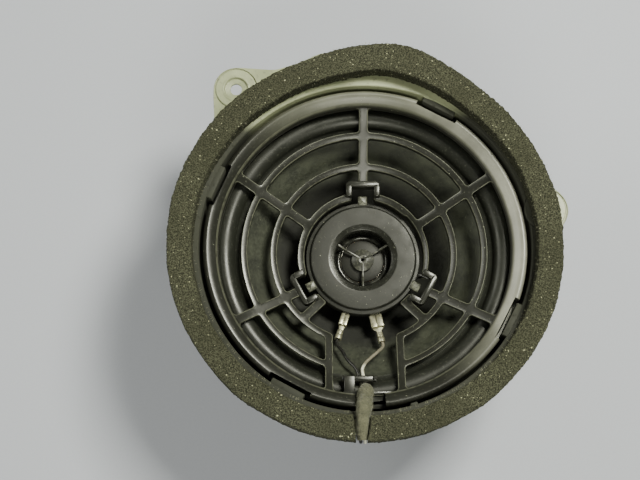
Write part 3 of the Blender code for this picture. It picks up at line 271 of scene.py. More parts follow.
fitted("back_plate_turned", lathe(rounded([
    (0, 0.0010), (0.006, 0.0010), (0.0068, 0), (0.042, 0, 0.0009), (0.042, 0.0035, 0.0005),
    (0.0123, 0.0035, 0.0008), (0.0123, 0.0191, 0.0006), (0.0040, 0.0191), (0.0040, 0.0175), (0, 0.0175),
], 0.0003)), zinc_plate, nodes=("back_plate",))
fitted("ferrite_ring", lathe(rounded([
    (0.0225, 0.0038), (0.045, 0.0038), (0.045, 0.0148), (0.0225, 0.0148)], 0.0011)),
    ferrite, nodes=("ferrite_magnet",))
fitted("front_plate_turned", lathe(rounded([
    (0.0144, 0.0151), (0.042, 0.0151), (0.042, 0.0191), (0.0144, 0.0191)], 0.0005)),
    zinc_plate, nodes=("front_plate",))
refinish(zinc_plate, "magnet_rivet_1", "magnet_rivet_2", "magnet_rivet_3", "tweeter_magnet",
         "tweeter_pole_plate", "tweeter_yoke_cup", "terminal_rivet_1", "terminal_rivet_2")


# ---- Chassis ----
# One moulding of light grey glass-filled plastic: an open basket of six arms, a deep collar, a flange
# with two lugs on its sides, four snap hooks for the carrier and a small locating peg.

FLANGE_FRONT = 0.0805
FLANGE_BACK = 0.0780
COLLAR = 0.0768
BASKET_ARMS = ((30, 0.006), (90, 0.006), (150, 0.006), (210, 0.006), (270, 0.014), (330, 0.006))


def beside_ray(ray, offset, radius):
    """Angle in radians at which a line beside a ray meets a circle."""
    return math.radians(ray) + math.asin(max(-1.0, min(1.0, offset / radius)))


def polar_sheet(rows, columns, solid):
    """A sheet of quads on rings and rays: rows are (radius, height), columns give an angle for a radius.
    The cells that solid refuses are left out, and the last column meets the first."""
    shape = bmesh.new()
    grid = bmesh.ops.create_grid(shape, x_segments=len(columns), y_segments=len(rows) - 1, size=1.0)["verts"]
    grid.sort(key=lambda v: (round(v.co.x, 5), round(v.co.y, 5)))
    closed = columns + [lambda radius, first=columns[0]: first(radius) + math.tau]
    cell = {}
    for c, angle in enumerate(closed):
        for r, (radius, height) in enumerate(rows):
            vert = grid[c * len(rows) + r]
            cell[vert] = (c, r)
            vert.co = (radius * math.cos(angle(radius)), radius * math.sin(angle(radius)), height)
    gone = []
    for face in shape.faces:
        c = min(cell[v][0] for v in face.verts)
        r = min(cell[v][1] for v in face.verts)
        if not solid(c, r):
            gone.append(face)
    bmesh.ops.delete(shape, geom=gone, context="FACES")
    bmesh.ops.remove_doubles(shape, verts=shape.verts, dist=2e-6)
    return shape


def thickened(shape, drop, fillet, edge, level=40):
    """Gives a sheet its thickness, rounds its window corners in plan, then eases its sharp edges."""
    painted_edge_highlight = shape.faces.layers.float.new("painted_edge_highlight")
    bmesh.ops.recalc_face_normals(shape, faces=shape.faces)
    if sum(face.normal.z for face in shape.faces) < 0:
        bmesh.ops.reverse_faces(shape, faces=shape.faces)
    tops = list(shape.verts)
    made = bmesh.ops.extrude_face_region(shape, geom=list(shape.faces), use_keep_orig=True)["geom"]
    lower = [item for item in made if isinstance(item, bmesh.types.BMVert)]
    for vert in lower:
        vert.co.z = drop(math.hypot(vert.co.x, vert.co.y), vert.co.z)
    bmesh.ops.recalc_face_normals(shape, faces=shape.faces)
    upper = set(tops)
    if fillet:
        corners = [e for e in shape.edges
                   if len(e.link_faces) == 2 and (e.verts[0] in upper) != (e.verts[1] in upper)
                   and e.calc_face_angle(0) > math.radians(level)]
        bmesh.ops.bevel(shape, geom=corners, offset=fillet, segments=3, profile=0.5, affect="EDGES",
                        material=-1)
    crisp = [e for e in shape.edges
             if len(e.link_faces) == 2 and e.calc_face_angle(0) > math.radians(level)]
    eased = bmesh.ops.bevel(shape, geom=crisp, offset=edge, segments=2, profile=0.5, affect="EDGES",
                            material=-1)
    # The eased edge faces are marked for a painted edge highlight.
    for face in eased["faces"]:
        face[painted_edge_highlight] = 1.0
    return shape


def spread(marks, gap):
    """Steps of at most gap degrees between given marks: (number of the mark before, share of the way)."""
    filled = []
    for i, mark in enumerate(marks):
        following = marks[i + 1] if i + 1 < len(marks) else marks[0] + 360
        count = max(1, math.ceil((following - mark) / gap))
        filled += [(i, k / count) for k in range(count)]
    return filled


def ray_columns(marks, gap, plan_radius):
    """Columns for polar_sheet from marks (ray, offset, least radius): each mark keeps its line, and the
    columns between two marks share out the angle between them at every radius."""
    def line(mark):
        ray, offset, least = mark
        return lambda radius: beside_ray(ray, offset, max(radius, least))

    lines = [line(mark) for mark in marks]
    plan = [math.degrees(one(plan_radius)) for one in lines]
    columns, owners = [], []
    for i, share in spread(plan, gap):
        first = lines[i]
        wrap = 0 if i + 1 < len(lines) else math.tau
        second = lines[(i + 1) % len(lines)]

        def column(radius, first=first, second=second, share=share, wrap=wrap):
            start = first(radius)
            return start + (second(radius) + wrap - start) * share

        columns.append(column)
        owners.append(i)
    return columns, owners


chassis_grey = Finish("chassis_grey", roughness=0.42)
chassis_cloud = chassis_grey.between(chassis_grey.grain(60.0, 6.0), 0.30, 0.75)
chassis_dust = chassis_grey.between(chassis_grey.grain(520.0, 4.0), 0.56, 0.72)
chassis_scuff = chassis_grey.between(chassis_grey.cells(240.0), 0.0, 0.09)
chassis_tone = chassis_grey.mix(chassis_cloud, (0.225, 0.245, 0.150), (0.320, 0.345, 0.215))
chassis_tone = chassis_grey.mix(chassis_dust * 0.55, chassis_tone, (0.12, 0.12, 0.085))
chassis_tone = chassis_grey.mix(1 - chassis_scuff, chassis_tone, (0.34, 0.35, 0.26))
# Painted shade: the chassis inside the foam ring (collar, inner strip of the flange and the basket) is
# painted near black and rougher, except the collar and flange strip on the side towards 94 degrees, which are
# left lit.
lit_crest = chassis_grey.between(chassis_grey.along(94), 0.0565, 0.0645)
lit_crest = lit_crest * chassis_grey.between(chassis_grey.radius(), 0.0765, 0.0767)
painted_shade = (1 - chassis_grey.between(chassis_grey.radius(), 0.0801, 0.0808)) * (1 - lit_crest)
chassis_grey.paint("Base Color", chassis_grey.mix(painted_shade * 0.93, chassis_tone, (0.006, 0.006, 0.0055)))
chassis_grey.paint("Roughness", 0.34 + chassis_cloud * 0.14 + chassis_dust * 0.2 + painted_shade * 0.4)
chassis_grey.relief(chassis_grey.grain(1500.0, 3.0) * 0.6 + chassis_cloud * 0.4, 0.00006, 0.6)

arm_marks = [(ray, side * half, 0.0) for ray, half in BASKET_ARMS for side in (-1, 1)]
arm_columns, arm_owners = ray_columns(arm_marks, 3.0, 0.060)
basket_rows = [(0.0200, 0.0214), (0.0350, 0.0214), (0.0362, 0.0220), (0.0368, 0.0245), (0.0380, 0.0250),
               (0.0425, 0.0250), (0.0440, 0.0262), (0.0470, 0.0299), (0.0550, 0.0398), (0.0620, 0.0485),
               (0.0688, 0.0570), (0.0708, 0.0595), (0.0718, 0.0607)]


def basket_solid(column, row):
    return arm_owners[column % len(arm_owners)] % 2 == 0 or not 7 <= row <= 9


def basket_wall(radius, height):
    """Outer skin of the basket below each ring of its inner skin."""
    if radius < 0.0372:
        return 0.0194
    if radius < 0.0426:
        return 0.0194 + (radius - 0.0372) * 0.68
    return height - 0.0026 if radius < 0.0700 else 0.0587


basket = thickened(polar_sheet(basket_rows, arm_columns, basket_solid), basket_wall, 0.0025, 0.0005)
collar = lathe(rounded([
    (0.0716, 0.0607), (0.0716, 0.0589), (0.0786, 0.0589, 0.0008), (0.0786, 0.0785, 0.0002),
    (COLLAR, 0.0803, 0.0004), (COLLAR, 0.0607, 0.0004),
], 0.0002))


def joined(*shapes):
    """Several shapes as one mesh."""
    whole = shapes[0]
    for part in shapes[1:]:
        carrier_mesh = bpy.data.meshes.new("part")
        part.to_mesh(carrier_mesh)
        part.free()
        whole.from_mesh(carrier_mesh)
        bpy.data.meshes.remove(carrier_mesh)
    return whole


def slab(outline, low, high, edge=0.0003, turn=0.0, corner=0.0):
    """A flat piece cut to an outline, with eased top and bottom edges, turned about the Z axis."""
    shape = bmesh.new()
    if corner:
        outline = rounded(outline, corner)
    base = shape.faces.new([shape.verts.new((x, y, low + edge)) for x, y in outline])
    top = [item for item in bmesh.ops.extrude_face_region(shape, geom=[base], use_keep_orig=True)["geom"]
           if isinstance(item, bmesh.types.BMFace)]
    raised = list({v for face in top for v in face.verts})
    bmesh.ops.translate(shape, verts=raised, vec=(0, 0, high - low - 2 * edge))
    bmesh.ops.recalc_face_normals(shape, faces=shape.faces)
    for face in (base, top[0]):
        for across, up in ((0.35, 0.65), (0.65, 0.35)):
            bmesh.ops.inset_region(shape, faces=[face], thickness=edge * across, depth=edge * up,
                                   use_even_offset=True)
    bmesh.ops.rotate(shape, verts=shape.verts, cent=(0, 0, 0),
                     matrix=Matrix.Rotation(math.radians(turn), 3, "Z"))
    return shape


def box_outline(x0, x1, y0, y1):
    return [(x0, y0), (x1, y0), (x1, y1), (x0, y1)]


def ring_points(centre, radius, start, end, steps):
    return [(centre[0] + radius * math.cos(math.radians(start + (end - start) * i / steps)),
             centre[1] + radius * math.sin(math.radians(start + (end - start) * i / steps)))
            for i in range(steps + 1)]


def flange_reach(degrees):
    """How far the flange's outline stands from the axis in a direction: the furthest of its round rim,
    its crest and the webs and pads of its two lugs, eased where they meet."""
    way = Vector((math.cos(math.radians(degrees)), math.sin(math.radians(degrees))))
    reaches = [0.090]
    for (x, y), radius in (((0.006, 0.060), 0.0355), ((-0.0606, 0.0753), 0.0109), ((0.0835, 0.0162), 0.0109)):
        along = way.x * x + way.y * y
        miss = abs(way.x * y - way.y * x)
        if along > 0 and miss < radius:
            reaches.append(along + math.sqrt(radius ** 2 - miss ** 2))
    webs = (((-0.0704, 0.0548), (-0.0714, 0.0737)), ((-0.0579, 0.0859), (-0.0422, 0.0848)),
            ((-0.0422, 0.0848), (-0.0303, 0.0887)), ((-0.0303, 0.0887), (-0.0208, 0.0934)),
            ((-0.0208, 0.0934), (-0.0105, 0.0943)), ((0.0875, 0.0015), (0.0944, 0.0162)),
            ((0.0944, 0.0162), (0.0840, 0.0320)))
    for (x0, y0), (x1, y1) in webs:
        dx, dy = x1 - x0, y1 - y0
        spread_out = way.x * dy - way.y * dx
        if abs(spread_out) < 1e-9:
            continue
        along = (x0 * dy - y0 * dx) / spread_out
        share = (x0 * way.y - y0 * way.x) / spread_out
        if along > 0 and 0 <= share <= 1:
            reaches.append(along)
    return max(reaches)


FLANGE_STEPS = 720
reaches = [flange_reach(360 * i / FLANGE_STEPS) for i in range(FLANGE_STEPS)]
for _ in range(10):
    reaches = [(reaches[i - 1] + 2 * reaches[i] + reaches[(i + 1) % FLANGE_STEPS]) / 4
               for i in range(FLANGE_STEPS)]
flange = bmesh.new()
sheet = bmesh.ops.create_grid(flange, x_segments=FLANGE_STEPS, y_segments=5, size=1.0)["verts"]
sheet.sort(key=lambda v: (round(v.co.x, 5), round(v.co.y, 5)))
for number, vert in enumerate(sheet):
    step, row = divmod(number, 6)
    turn = math.tau * step / FLANGE_STEPS
    outer = reaches[step % FLANGE_STEPS]
    if abs((math.degrees(turn) - 268.8 + 180) % 360 - 180) < 2.9:
        outer = 0.087
    radius, height = ((COLLAR, FLANGE_FRONT - 0.0004), (COLLAR + 0.0004, FLANGE_FRONT),
                      (outer - 0.0007, FLANGE_FRONT), (outer - 0.0002, FLANGE_FRONT - 0.0002),
                      (outer, FLANGE_FRONT - 0.0007), (outer, FLANGE_BACK + 0.0002))[row]
    vert.co = (radius * math.cos(turn), radius * math.sin(turn), height)
bmesh.ops.remove_doubles(flange, verts=flange.verts, dist=2e-6)
open_rims = [e for e in flange.edges if e.is_boundary]
under = bmesh.ops.extrude_edge_only(flange, edges=open_rims)["geom"]
for item in under:
    if isinstance(item, bmesh.types.BMVert):
        item.co.z = FLANGE_BACK
        if math.hypot(item.co.x, item.co.y) > COLLAR + 0.001:
            item.co.x *= 0.998
            item.co.y *= 0.998
bmesh.ops.bridge_loops(flange, edges=[e for e in flange.edges if e.is_boundary])
bmesh.ops.recalc_face_normals(flange, faces=flange.faces)

HOOK_ANGLES = (62, 157, 242, 332)
hooks = [slab(box_outline(0.0740, 0.0772, -0.00825, 0.00825), 0.0703, 0.0802, 0.0004, angle, 0.0006)
         for angle in HOOK_ANGLES]
peg = slab(box_outline(0.0756, 0.0776, -0.0017, 0.0017), 0.0745, 0.0790, 0.0004, -73.7, 0.0005)
shelf = slab(box_outline(-0.012, 0.012, -0.0770, -0.0605), 0.0428, 0.0448, 0.0004, 0, 0.001)
chassis = fitted("chassis_moulding", joined(basket, collar, *hooks, peg, shelf), chassis_grey,
                 nodes=("chassis",))
flange_piece = fitted("chassis_flange", flange, chassis_grey)

for number, (x, y) in enumerate(((-0.0606, 0.0753), (0.0835, 0.0162)), 1):
    seat = lathe(rounded([
        (0.0052, 0.0794, 0.0003), (0.0057, 0.0807, 0.0003), (0.0062, 0.0807, 0.0002),
        (0.0066, 0.0805, 0.0002), (0.0093, 0.0807, 0.0003), (0.0097, 0.0802, 0.0001), (0.0097, 0.0795),
        (0.0052, 0.0785), (0.0027, 0.0785), (0.0027, 0.0793, 0.0004)], 0.0001), 72)
    bmesh.ops.translate(seat, verts=seat.verts, vec=(x, y, 0))
    drill = joined(lathe([(0.0, 0.070), (0.0057, 0.070), (0.0057, 0.082), (0.0, 0.082)], 48),
                   lathe([(0.0090, 0.0799), (0.0102, 0.0799), (0.0102, 0.082), (0.0090, 0.082)], 48))
    bmesh.ops.translate(drill, verts=drill.verts, vec=(x, y, 0))
    drill_mesh = bpy.data.meshes.new(f"drill_{number}")
    drill.to_mesh(drill_mesh)
    drill.free()
    drill_obj = bpy.data.objects.new(f"drill_{number}", drill_mesh)
    bpy.context.scene.collection.objects.link(drill_obj)
    cut = flange_piece.modifiers.new("drill", "BOOLEAN")
    cut.operation = "DIFFERENCE"
    cut.solver = "EXACT"
    cut.object = drill_obj
    bpy.context.view_layer.objects.active = flange_piece
    bpy.ops.object.modifier_apply(modifier=cut.name)
    bpy.data.objects.remove(drill_obj, do_unlink=True)
    fitted(f"lug_seat_{number}", seat, chassis_grey)


# ---- Foam gasket ----
# A ring cut from open-cell polyurethane foam, 9 mm thick, glued on the flange and slit where the
# leads leave. Its cells are torn open on the cut faces, and lint and grit have lodged in them.

FOAM_LOW = 0.0808
FOAM_HIGH = 0.0898
SLIT = (-0.0060, 0.0022)


def bulge(degrees):
    away = (degrees - 81 + 180) % 360 - 180
    return math.exp(-(away / 14) ** 2 / 2)


FOAM_TURNS = 1150
foam_section = rounded([(0.0779, FOAM_LOW), (0.0902, FOAM_LOW), (0.0902, FOAM_HIGH), (0.0779, FOAM_HIGH)],
                       0.0009, 4)
foam_walk = []
for (r0, z0), (r1, z1) in zip(foam_section, foam_section[1:] + foam_section[:1]):
    pitch = 0.0016 if z0 < 0.0812 and z1 < 0.0812 else (0.00047)
    count = max(1, round(math.hypot(r1 - r0, z1 - z0) / pitch))
    foam_walk += [(r0 + (r1 - r0) * k / count, z0 + (z1 - z0) * k / count) for k in range(count)]
foam = bmesh.new()
rows = len(foam_walk)
foam_grid = bmesh.ops.create_grid(foam, x_segments=FOAM_TURNS, y_segments=rows, size=1.0)["verts"]
foam_grid.sort(key=lambda v: (round(v.co.x, 6), round(v.co.y, 6)))
for number, vert in enumerate(foam_grid):
    turn, row = divmod(number, rows + 1)
    radius, height = foam_walk[row % rows]
    share = (radius - 0.0779) / 0.0123
    right = math.asin((SLIT[1] - 0.0016 * share) / radius)
    left = math.asin((-SLIT[0] - 0.0014 * share) / radius)
    angle = -math.pi / 2 + right + (math.tau - right - left) * turn / FOAM_TURNS
    degrees = math.degrees(angle)
    radius += (0.0036 + 0.0020 * share) * bulge(degrees) + 0.0008 * (1 - share)
    radius += 0.0005 * noise.noise(Vector((math.cos(angle) * 5, math.sin(angle) * 5, share * 1.5)))
    vert.co = (radius * math.cos(angle) - 0.0004, radius * math.sin(angle) - 0.0006 + 0.0002 * share, height)
bmesh.ops.remove_doubles(foam, verts=foam.verts, dist=1e-6)
bmesh.ops.holes_fill(foam, edges=[e for e in foam.edges if e.is_boundary], sides=0)
bmesh.ops.recalc_face_normals(foam, faces=foam.faces)
foam.normal_update()
for vert in foam.verts:
    place = vert.co
    if place.z < 0.0811:
        continue
    lumps = noise.noise(place * 210)
    fine = noise.noise(place * 900)
    edge = min(1.0, abs(vert.normal.z) * 4 * (1 - abs(vert.normal.z)))
    vert.co = place + vert.normal * (0.00016 * lumps + (0.00028 + 0.0003 * edge) * fine)

foam_fill = Finish("open_cell_foam", roughness=0.95, specular_ior_level=0.2)
foam_cells = foam_fill.cells(1700.0)
foam_fine = foam_fill.grain(1550.0, 5.0, 0.75)
foam_patch = foam_fill.between(foam_fill.grain(60.0, 5.0), 0.32, 0.72)
foam_walls = foam_fill.between(foam_fine + foam_cells * 0.28, 0.50, 0.80)
foam_tone = foam_fill.mix(foam_walls, (0.008, 0.008, 0.0055), (0.074, 0.077, 0.049))
foam_tone = foam_fill.mix(foam_patch * 0.4, foam_tone, (0.020, 0.021, 0.012))
foam_lint = foam_fill.between(foam_fill.grain(900.0, 1.0, 0.5), 0.71, 0.76)
foam_tone = foam_fill.mix(foam_lint, foam_tone, (0.33, 0.33, 0.22))
foam_fill.paint("Base Color", foam_tone)
foam_fill.relief(foam_fine + foam_cells * 0.3, 0.00045, 1.0)
foam_piece = fitted("foam_ring", foam, foam_fill, nodes=("foam_gasket",), sharp=180)


# ---- Cone, dust cap, surround and spider ----
# The cone is pressed from grey paper pulp with flock in it. A glossy rubber half roll joins it to the
# chassis, and an amber resin-dipped cloth centres it. They move together along the axis.

CONE_NECK = 0.0133
CONE_SPAN = 0.0457
CONE_LOW = 0.0270
CONE_RISE = 0.0340


def cone_front(radius):
    return CONE_LOW + max(0.0, (radius - CONE_NECK) / CONE_SPAN) ** 1.4 * CONE_RISE


cone_radii = [CONE_NECK + CONE_SPAN * i / 40 for i in range(41)]
cone_faces = [(r, cone_front(r)) for r in cone_radii]
cone_shape = lathe([*cone_faces, (0.0604, 0.0611), (0.0612, 0.0610), (0.0612, 0.0604),
                    *((r, z - 0.0006) for r, z in reversed(cone_faces))])
pulp = Finish("paper_pulp", roughness=0.72)
pulp_mottle = pulp.between(pulp.grain(95.0, 6.0, 0.65), 0.30, 0.72)
pulp_flock = pulp.between(pulp.grain(620.0, 5.0, 0.7), 0.40, 0.75)
pulp_lint = pulp.between(pulp.grain(1400.0, 2.0), 0.72, 0.78)
pulp_tone = pulp.mix(pulp_mottle, (0.008, 0.0095, 0.006), (0.034, 0.038, 0.025))
pulp_tone = pulp.mix(pulp_flock * 0.45, pulp_tone, (0.055, 0.060, 0.041))
pulp_tone = pulp.mix(pulp_lint * 0.8, pulp_tone, (0.20, 0.21, 0.15))
# Painted shade: the cone is painted near black towards its middle, deep under the grille.
pulp_painted_shade = 1 - pulp.between(pulp.radius(), 0.038, 0.047)
pulp.paint("Base Color", pulp.mix(pulp_painted_shade * 0.85, pulp_tone, (0.0035, 0.0036, 0.003)))
pulp.paint("Roughness", 0.62 + pulp_flock * 0.25)
pulp.relief(pulp.grain(1300.0, 4.0, 0.7) * 0.7 + pulp_mottle * 0.3, 0.00016, 0.8)
fitted("paper_cone", cone_shape, pulp, "woofer_cone", ("cone",))
cap_base = cone_front(0.0165) + 0.0003
cap_rim = [(0.0145 * math.sin(turn), cap_base + 0.0022 * math.cos(turn) ** 1.2)
           for turn in (math.pi / 2 * i / 16 for i in range(17))]
fitted("dust_cap_dome", lathe([*cap_rim, *((r, z - 0.0005) for r, z in reversed(cap_rim))], 96), pulp,
       "woofer_cone", ("dust_cap",))

rubber = Finish("surround_rubber", roughness=0.3, specular_ior_level=0.32)
rubber_haze = rubber.between(rubber.grain(80.0, 5.0), 0.35, 0.75)
rubber_dust = rubber.between(rubber.grain(900.0, 4.0, 0.65), 0.55, 0.75)
rubber.paint("Base Color", rubber.mix(rubber_dust * 0.55, (0.014, 0.015, 0.012), (0.075, 0.078, 0.060)))
rubber.paint("Roughness", 0.30 + rubber_haze * 0.18 + rubber_dust * 0.22)
rubber.relief(rubber.grain(1800.0, 3.0) * 0.5 + rubber_haze * 0.5, 0.00005, 0.5)

LIP = 0.0613
ROLL_MIDDLE = 0.0665
roll_out = ring_points((ROLL_MIDDLE, LIP), 0.0055, 172, 8, 26)
roll_in = ring_points((ROLL_MIDDLE, LIP), 0.0051, 8, 172, 26)
surround_shape = lathe([(0.0592, LIP), (0.0592, LIP + 0.0003), (0.0594, LIP + 0.0004), *roll_out,
                        (0.0726, 0.0614), (0.0763, 0.0614), (0.0763, 0.0610), (0.0722, 0.0610), *roll_in,
                        (0.0612, LIP)], 180)


def ring_blend(obj):
    """Bakes the piece's placement into its mesh."""
    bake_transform(obj)


def laid(name, shape, finish, nodes):
    """A piece that rides on no body, in place of the solids it stands for."""
    mesh = bpy.data.meshes.new(name)
    shape.to_mesh(mesh)
    shape.free()
    mesh.shade_smooth()
    mesh.materials.append(finish.material)
    obj = bpy.data.objects.new(name, mesh)
    bpy.context.scene.collection.objects.link(obj)
    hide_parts(*nodes)
    return obj


surround = laid("surround_roll", surround_shape, rubber, ("surround",))
ring_blend(surround)

spider_cloth = Finish("spider_cloth", roughness=0.85)
cloth_weave = spider_cloth.cells(1500.0)
spider_cloth.paint("Base Color", spider_cloth.mix(cloth_weave, (0.42, 0.22, 0.06), (0.20, 0.10, 0.03)))
spider_cloth.relief(cloth_weave, 0.00015, 0.8)
waves = [(0.0132, 0.0253), (0.0150, 0.0253)]
waves += [(0.0165 + 0.0200 * i / 60, 0.0253 + 0.0008 * math.sin(math.tau * 5 * i / 60)) for i in range(61)]
waves += [(0.0375, 0.0253), (0.0420, 0.0253)]
spider = laid("spider_ring", lathe([*waves, *((r, z + 0.0004) for r, z in reversed(waves))], 120),
              spider_cloth, ("spider",))
ring_blend(spider)

copper_wire = Finish("copper_wire", metallic=1.0, roughness=0.35)
copper_turns = copper_wire.node("ShaderNodeTexWave", {"bands_direction": "Z"},
                                {"Vector": copper_wire.place, "Scale": 900.0, "Distortion": 0.1}, "Fac")
copper_wire.paint("Base Color", copper_wire.mix(copper_turns, (0.30, 0.10, 0.04), (0.70, 0.30, 0.14)))
copper_wire.relief(copper_turns, 0.0001, 0.8)
amber_film = Finish("amber_film", roughness=0.3)
amber_cloud = amber_film.grain(300.0)
amber_film.paint("Base Color", amber_film.mix(amber_cloud, (0.30, 0.14, 0.03), (0.42, 0.22, 0.06)))
amber_film.relief(amber_film.grain(1200.0), 0.00003, 0.4)
refinish(copper_wire, "voice_coil_winding", "tweeter_coil")
refinish(amber_film, "voice_coil_former")


# ---- Grille carrier ----
# Black nylon moulding that snaps into the chassis: a domed rim, three rings, six spokes and two short
# ones, three clip pockets round the tweeter, a window for its leads and a finger that holds them.

RIM_INNER = 0.0685
SPOKE = 0.00215
RING_EDGES = (0.0284, 0.0315, 0.0350, 0.0414, 0.0443, 0.0551, 0.0579, 0.0682, 0.0694)


def dish(radius):
    return 0.0730 - 0.5 * (RIM_INNER - radius)


nylon = Finish("black_nylon", roughness=0.34)
nylon_haze = nylon.between(nylon.grain(55.0, 5.0), 0.35, 0.75)
nylon_dust = nylon.between(nylon.grain(800.0, 4.0, 0.7), 0.55, 0.75)
nylon_specks = nylon.between(nylon.grain(1500.0, 1.0), 0.765, 0.79)
nylon_tone = nylon.mix(nylon_dust * 0.5, (0.014, 0.0145, 0.0115), (0.070, 0.072, 0.054))
# Painted highlight: the rim is painted pale grey on its side towards 40 degrees, palest towards 12 degrees,
# for the silvery highlight the lamps give there.
nylon_highlight_band = nylon.between(nylon.radius(), 0.0680, 0.0690) * nylon.between(nylon.along(40), -0.018, 0.030)
nylon_highlight_side = nylon.between(nylon.along(12), 0.030, 0.066)
nylon_highlight_tone = nylon.mix(nylon_highlight_side, (0.130, 0.133, 0.104), (0.29, 0.29, 0.25))
nylon_tone = nylon.mix(nylon_highlight_band * (0.6 + nylon_haze * 0.4), nylon_tone, nylon_highlight_tone)
nylon_tone = nylon.mix(nylon_specks, nylon_tone, (0.42, 0.43, 0.33))
# Painted highlight: the eased edges and the rim's inner lip are painted lighter, broken into streaks.
nylon_edge_highlight = nylon.node("ShaderNodeAttribute", {"attribute_name": "painted_edge_highlight"}, output="Fac")
nylon_painted_edges = nylon_edge_highlight * nylon.between(nylon.grain(300.0, 3.0), 0.25, 0.55)
nylon.paint("Base Color", nylon.mix(nylon_painted_edges * 0.6, nylon_tone, (0.150, 0.155, 0.115)))
nylon.paint("Roughness", 0.28 + nylon_haze * 0.12 + nylon_dust * 0.22)
nylon.relief(nylon.grain(2100.0, 3.0) * 0.6 + nylon_haze * 0.4, 0.00004, 0.5)

cage_marks = [
    (30, -SPOKE, 0), (30, SPOKE, 0), (90, -0.0053, 0), (90, -SPOKE, 0), (90, SPOKE, 0), (90, 0.0053, 0),
    (150, -SPOKE, 0), (150, SPOKE, 0), (209, -0.0053, 0), (210, -SPOKE, 0), (210, SPOKE, 0), (209, 0.0053, 0),
    (227.5, -SPOKE, 0), (227.5, SPOKE, 0), (270, -0.0184, 0.0414), (270, -0.0148, 0.0414),
    (270, 0.0148, 0.0414), (270, 0.0184, 0.0414), (311.5, -SPOKE, 0), (311.5, SPOKE, 0), (331, -0.0053, 0),
    (330, -SPOKE, 0), (330, SPOKE, 0), (331, 0.0053, 0),
]
SPOKES = {0, 3, 6, 9, 21}
POCKETS = {2, 3, 4, 8, 9, 10, 20, 21, 22}
SHORT_SPOKES = {12, 18}
BARS = {14, 16}
cage_columns, cage_owners = ray_columns(cage_marks, 3.6, 0.045)


def cage_solid(column, row):
    """Which cells of the cage are plastic: row 0 is the inner ring, row 7 the strip under the rim."""
    owner = cage_owners[column % len(cage_owners)]
    if row == 7:
        return True
    if owner == 15:
        return False
    if row == 0:
        return owner not in POCKETS and not 13 <= owner <= 17
    if row == 1:
        return owner in SHORT_SPOKES or owner in (0, 6)
    if row == 2:
        return owner in SHORT_SPOKES or owner in SPOKES
    if row in (3, 5):
        return True
    return owner in SPOKES or owner in BARS


def cage_under(radius, height):
    if radius < 0.0310:
        return 0.0458
    return height - 0.0033


cage_rows = [(r, dish(r) + (0.0010 if r > 0.0690 else 0.0)) for r in RING_EDGES]
cage = polar_sheet(cage_rows, cage_columns, cage_solid)
for vert in cage.verts:
    angle = math.degrees(math.atan2(vert.co.y, vert.co.x))
    if math.hypot(vert.co.x, vert.co.y) < 0.0290 and -26 < angle < 44:
        vert.co.xy = vert.co.xy * (0.0292 / 0.0284)
cage = thickened(cage, cage_under, 0.0013, 0.0004)

rim = lathe(rounded([
    (0.0751, 0.0618), (0.0751, 0.0774, 0.0005), (0.0746, 0.0786, 0.0009), (0.0732, 0.0790, 0.0012),
    (0.0714, 0.0782, 0.0014), (0.0691, 0.0764, 0.0009), (0.0684, 0.0749, 0.0007), (0.0684, 0.0712, 0.0004),
    (0.0699, 0.0702), (0.0718, 0.0733), (0.0732, 0.0745), (0.0732, 0.0618)], 0.0002, 4), 180)
# Painted highlight: the faces of the rim's inner lip are marked for the painted edge highlight.
rim_edge_highlight = rim.faces.layers.float.new("painted_edge_highlight")
for face in rim.faces:
    centre = face.calc_center_median()
    face[rim_edge_highlight] = 0.8 if math.hypot(centre.x, centre.y) < 0.0691 and centre.z > 0.0744 else 0.0
fitted("carrier_cage", cage, nylon)
rim_piece = fitted("carrier_rim", rim, nylon, nodes=("grille_carrier",))
rim_cuts = joined(*[slab(box_outline(0.0720, 0.0775, -0.0104, 0.0104), 0.0700, 0.0830, 0.0001, angle)
                    for angle in HOOK_ANGLES],
                  slab(box_outline(-0.0049, 0.0087, -0.0775, -0.0681), 0.0732, 0.0830, 0.0001))
cut_mesh = bpy.data.meshes.new("rim_cuts")
rim_cuts.to_mesh(cut_mesh)
rim_cuts.free()
cut_obj = bpy.data.objects.new("rim_cuts", cut_mesh)
bpy.context.scene.collection.objects.link(cut_obj)
rim_cut = rim_piece.modifiers.new("cuts", "BOOLEAN")
rim_cut.operation = "DIFFERENCE"
rim_cut.solver = "EXACT"
rim_cut.object = cut_obj
bpy.context.view_layer.objects.active = rim_piece
bpy.ops.object.modifier_apply(modifier=rim_cut.name)
bpy.data.objects.remove(cut_obj, do_unlink=True)
rim_piece.data.set_sharp_from_angle(angle=math.radians(40))

POCKET_TOP = dish(0.0366) + 0.0003
CLIP_ANGLES = (90, 209, 331)
pockets = []
for angle in CLIP_ANGLES:
    crossbar = [(0.0337, -0.0075), (0.0337, 0.0075), *ring_points((0.0344, 0.0060), 0.0022, 90, 0, 5),
                *ring_points((0.0344, -0.0060), 0.0022, 0, -90, 5)]
    pockets.append(slab(crossbar, POCKET_TOP - 0.0062, POCKET_TOP, 0.0005, angle))
    pockets += [slab(box_outline(0.0290, 0.0350, side * 0.00675 - 0.00145, side * 0.00675 + 0.00145),
                     POCKET_TOP - 0.0062, POCKET_TOP, 0.0005, angle) for side in (-1, 1)]
fitted("carrier_pockets", joined(*pockets), nylon)

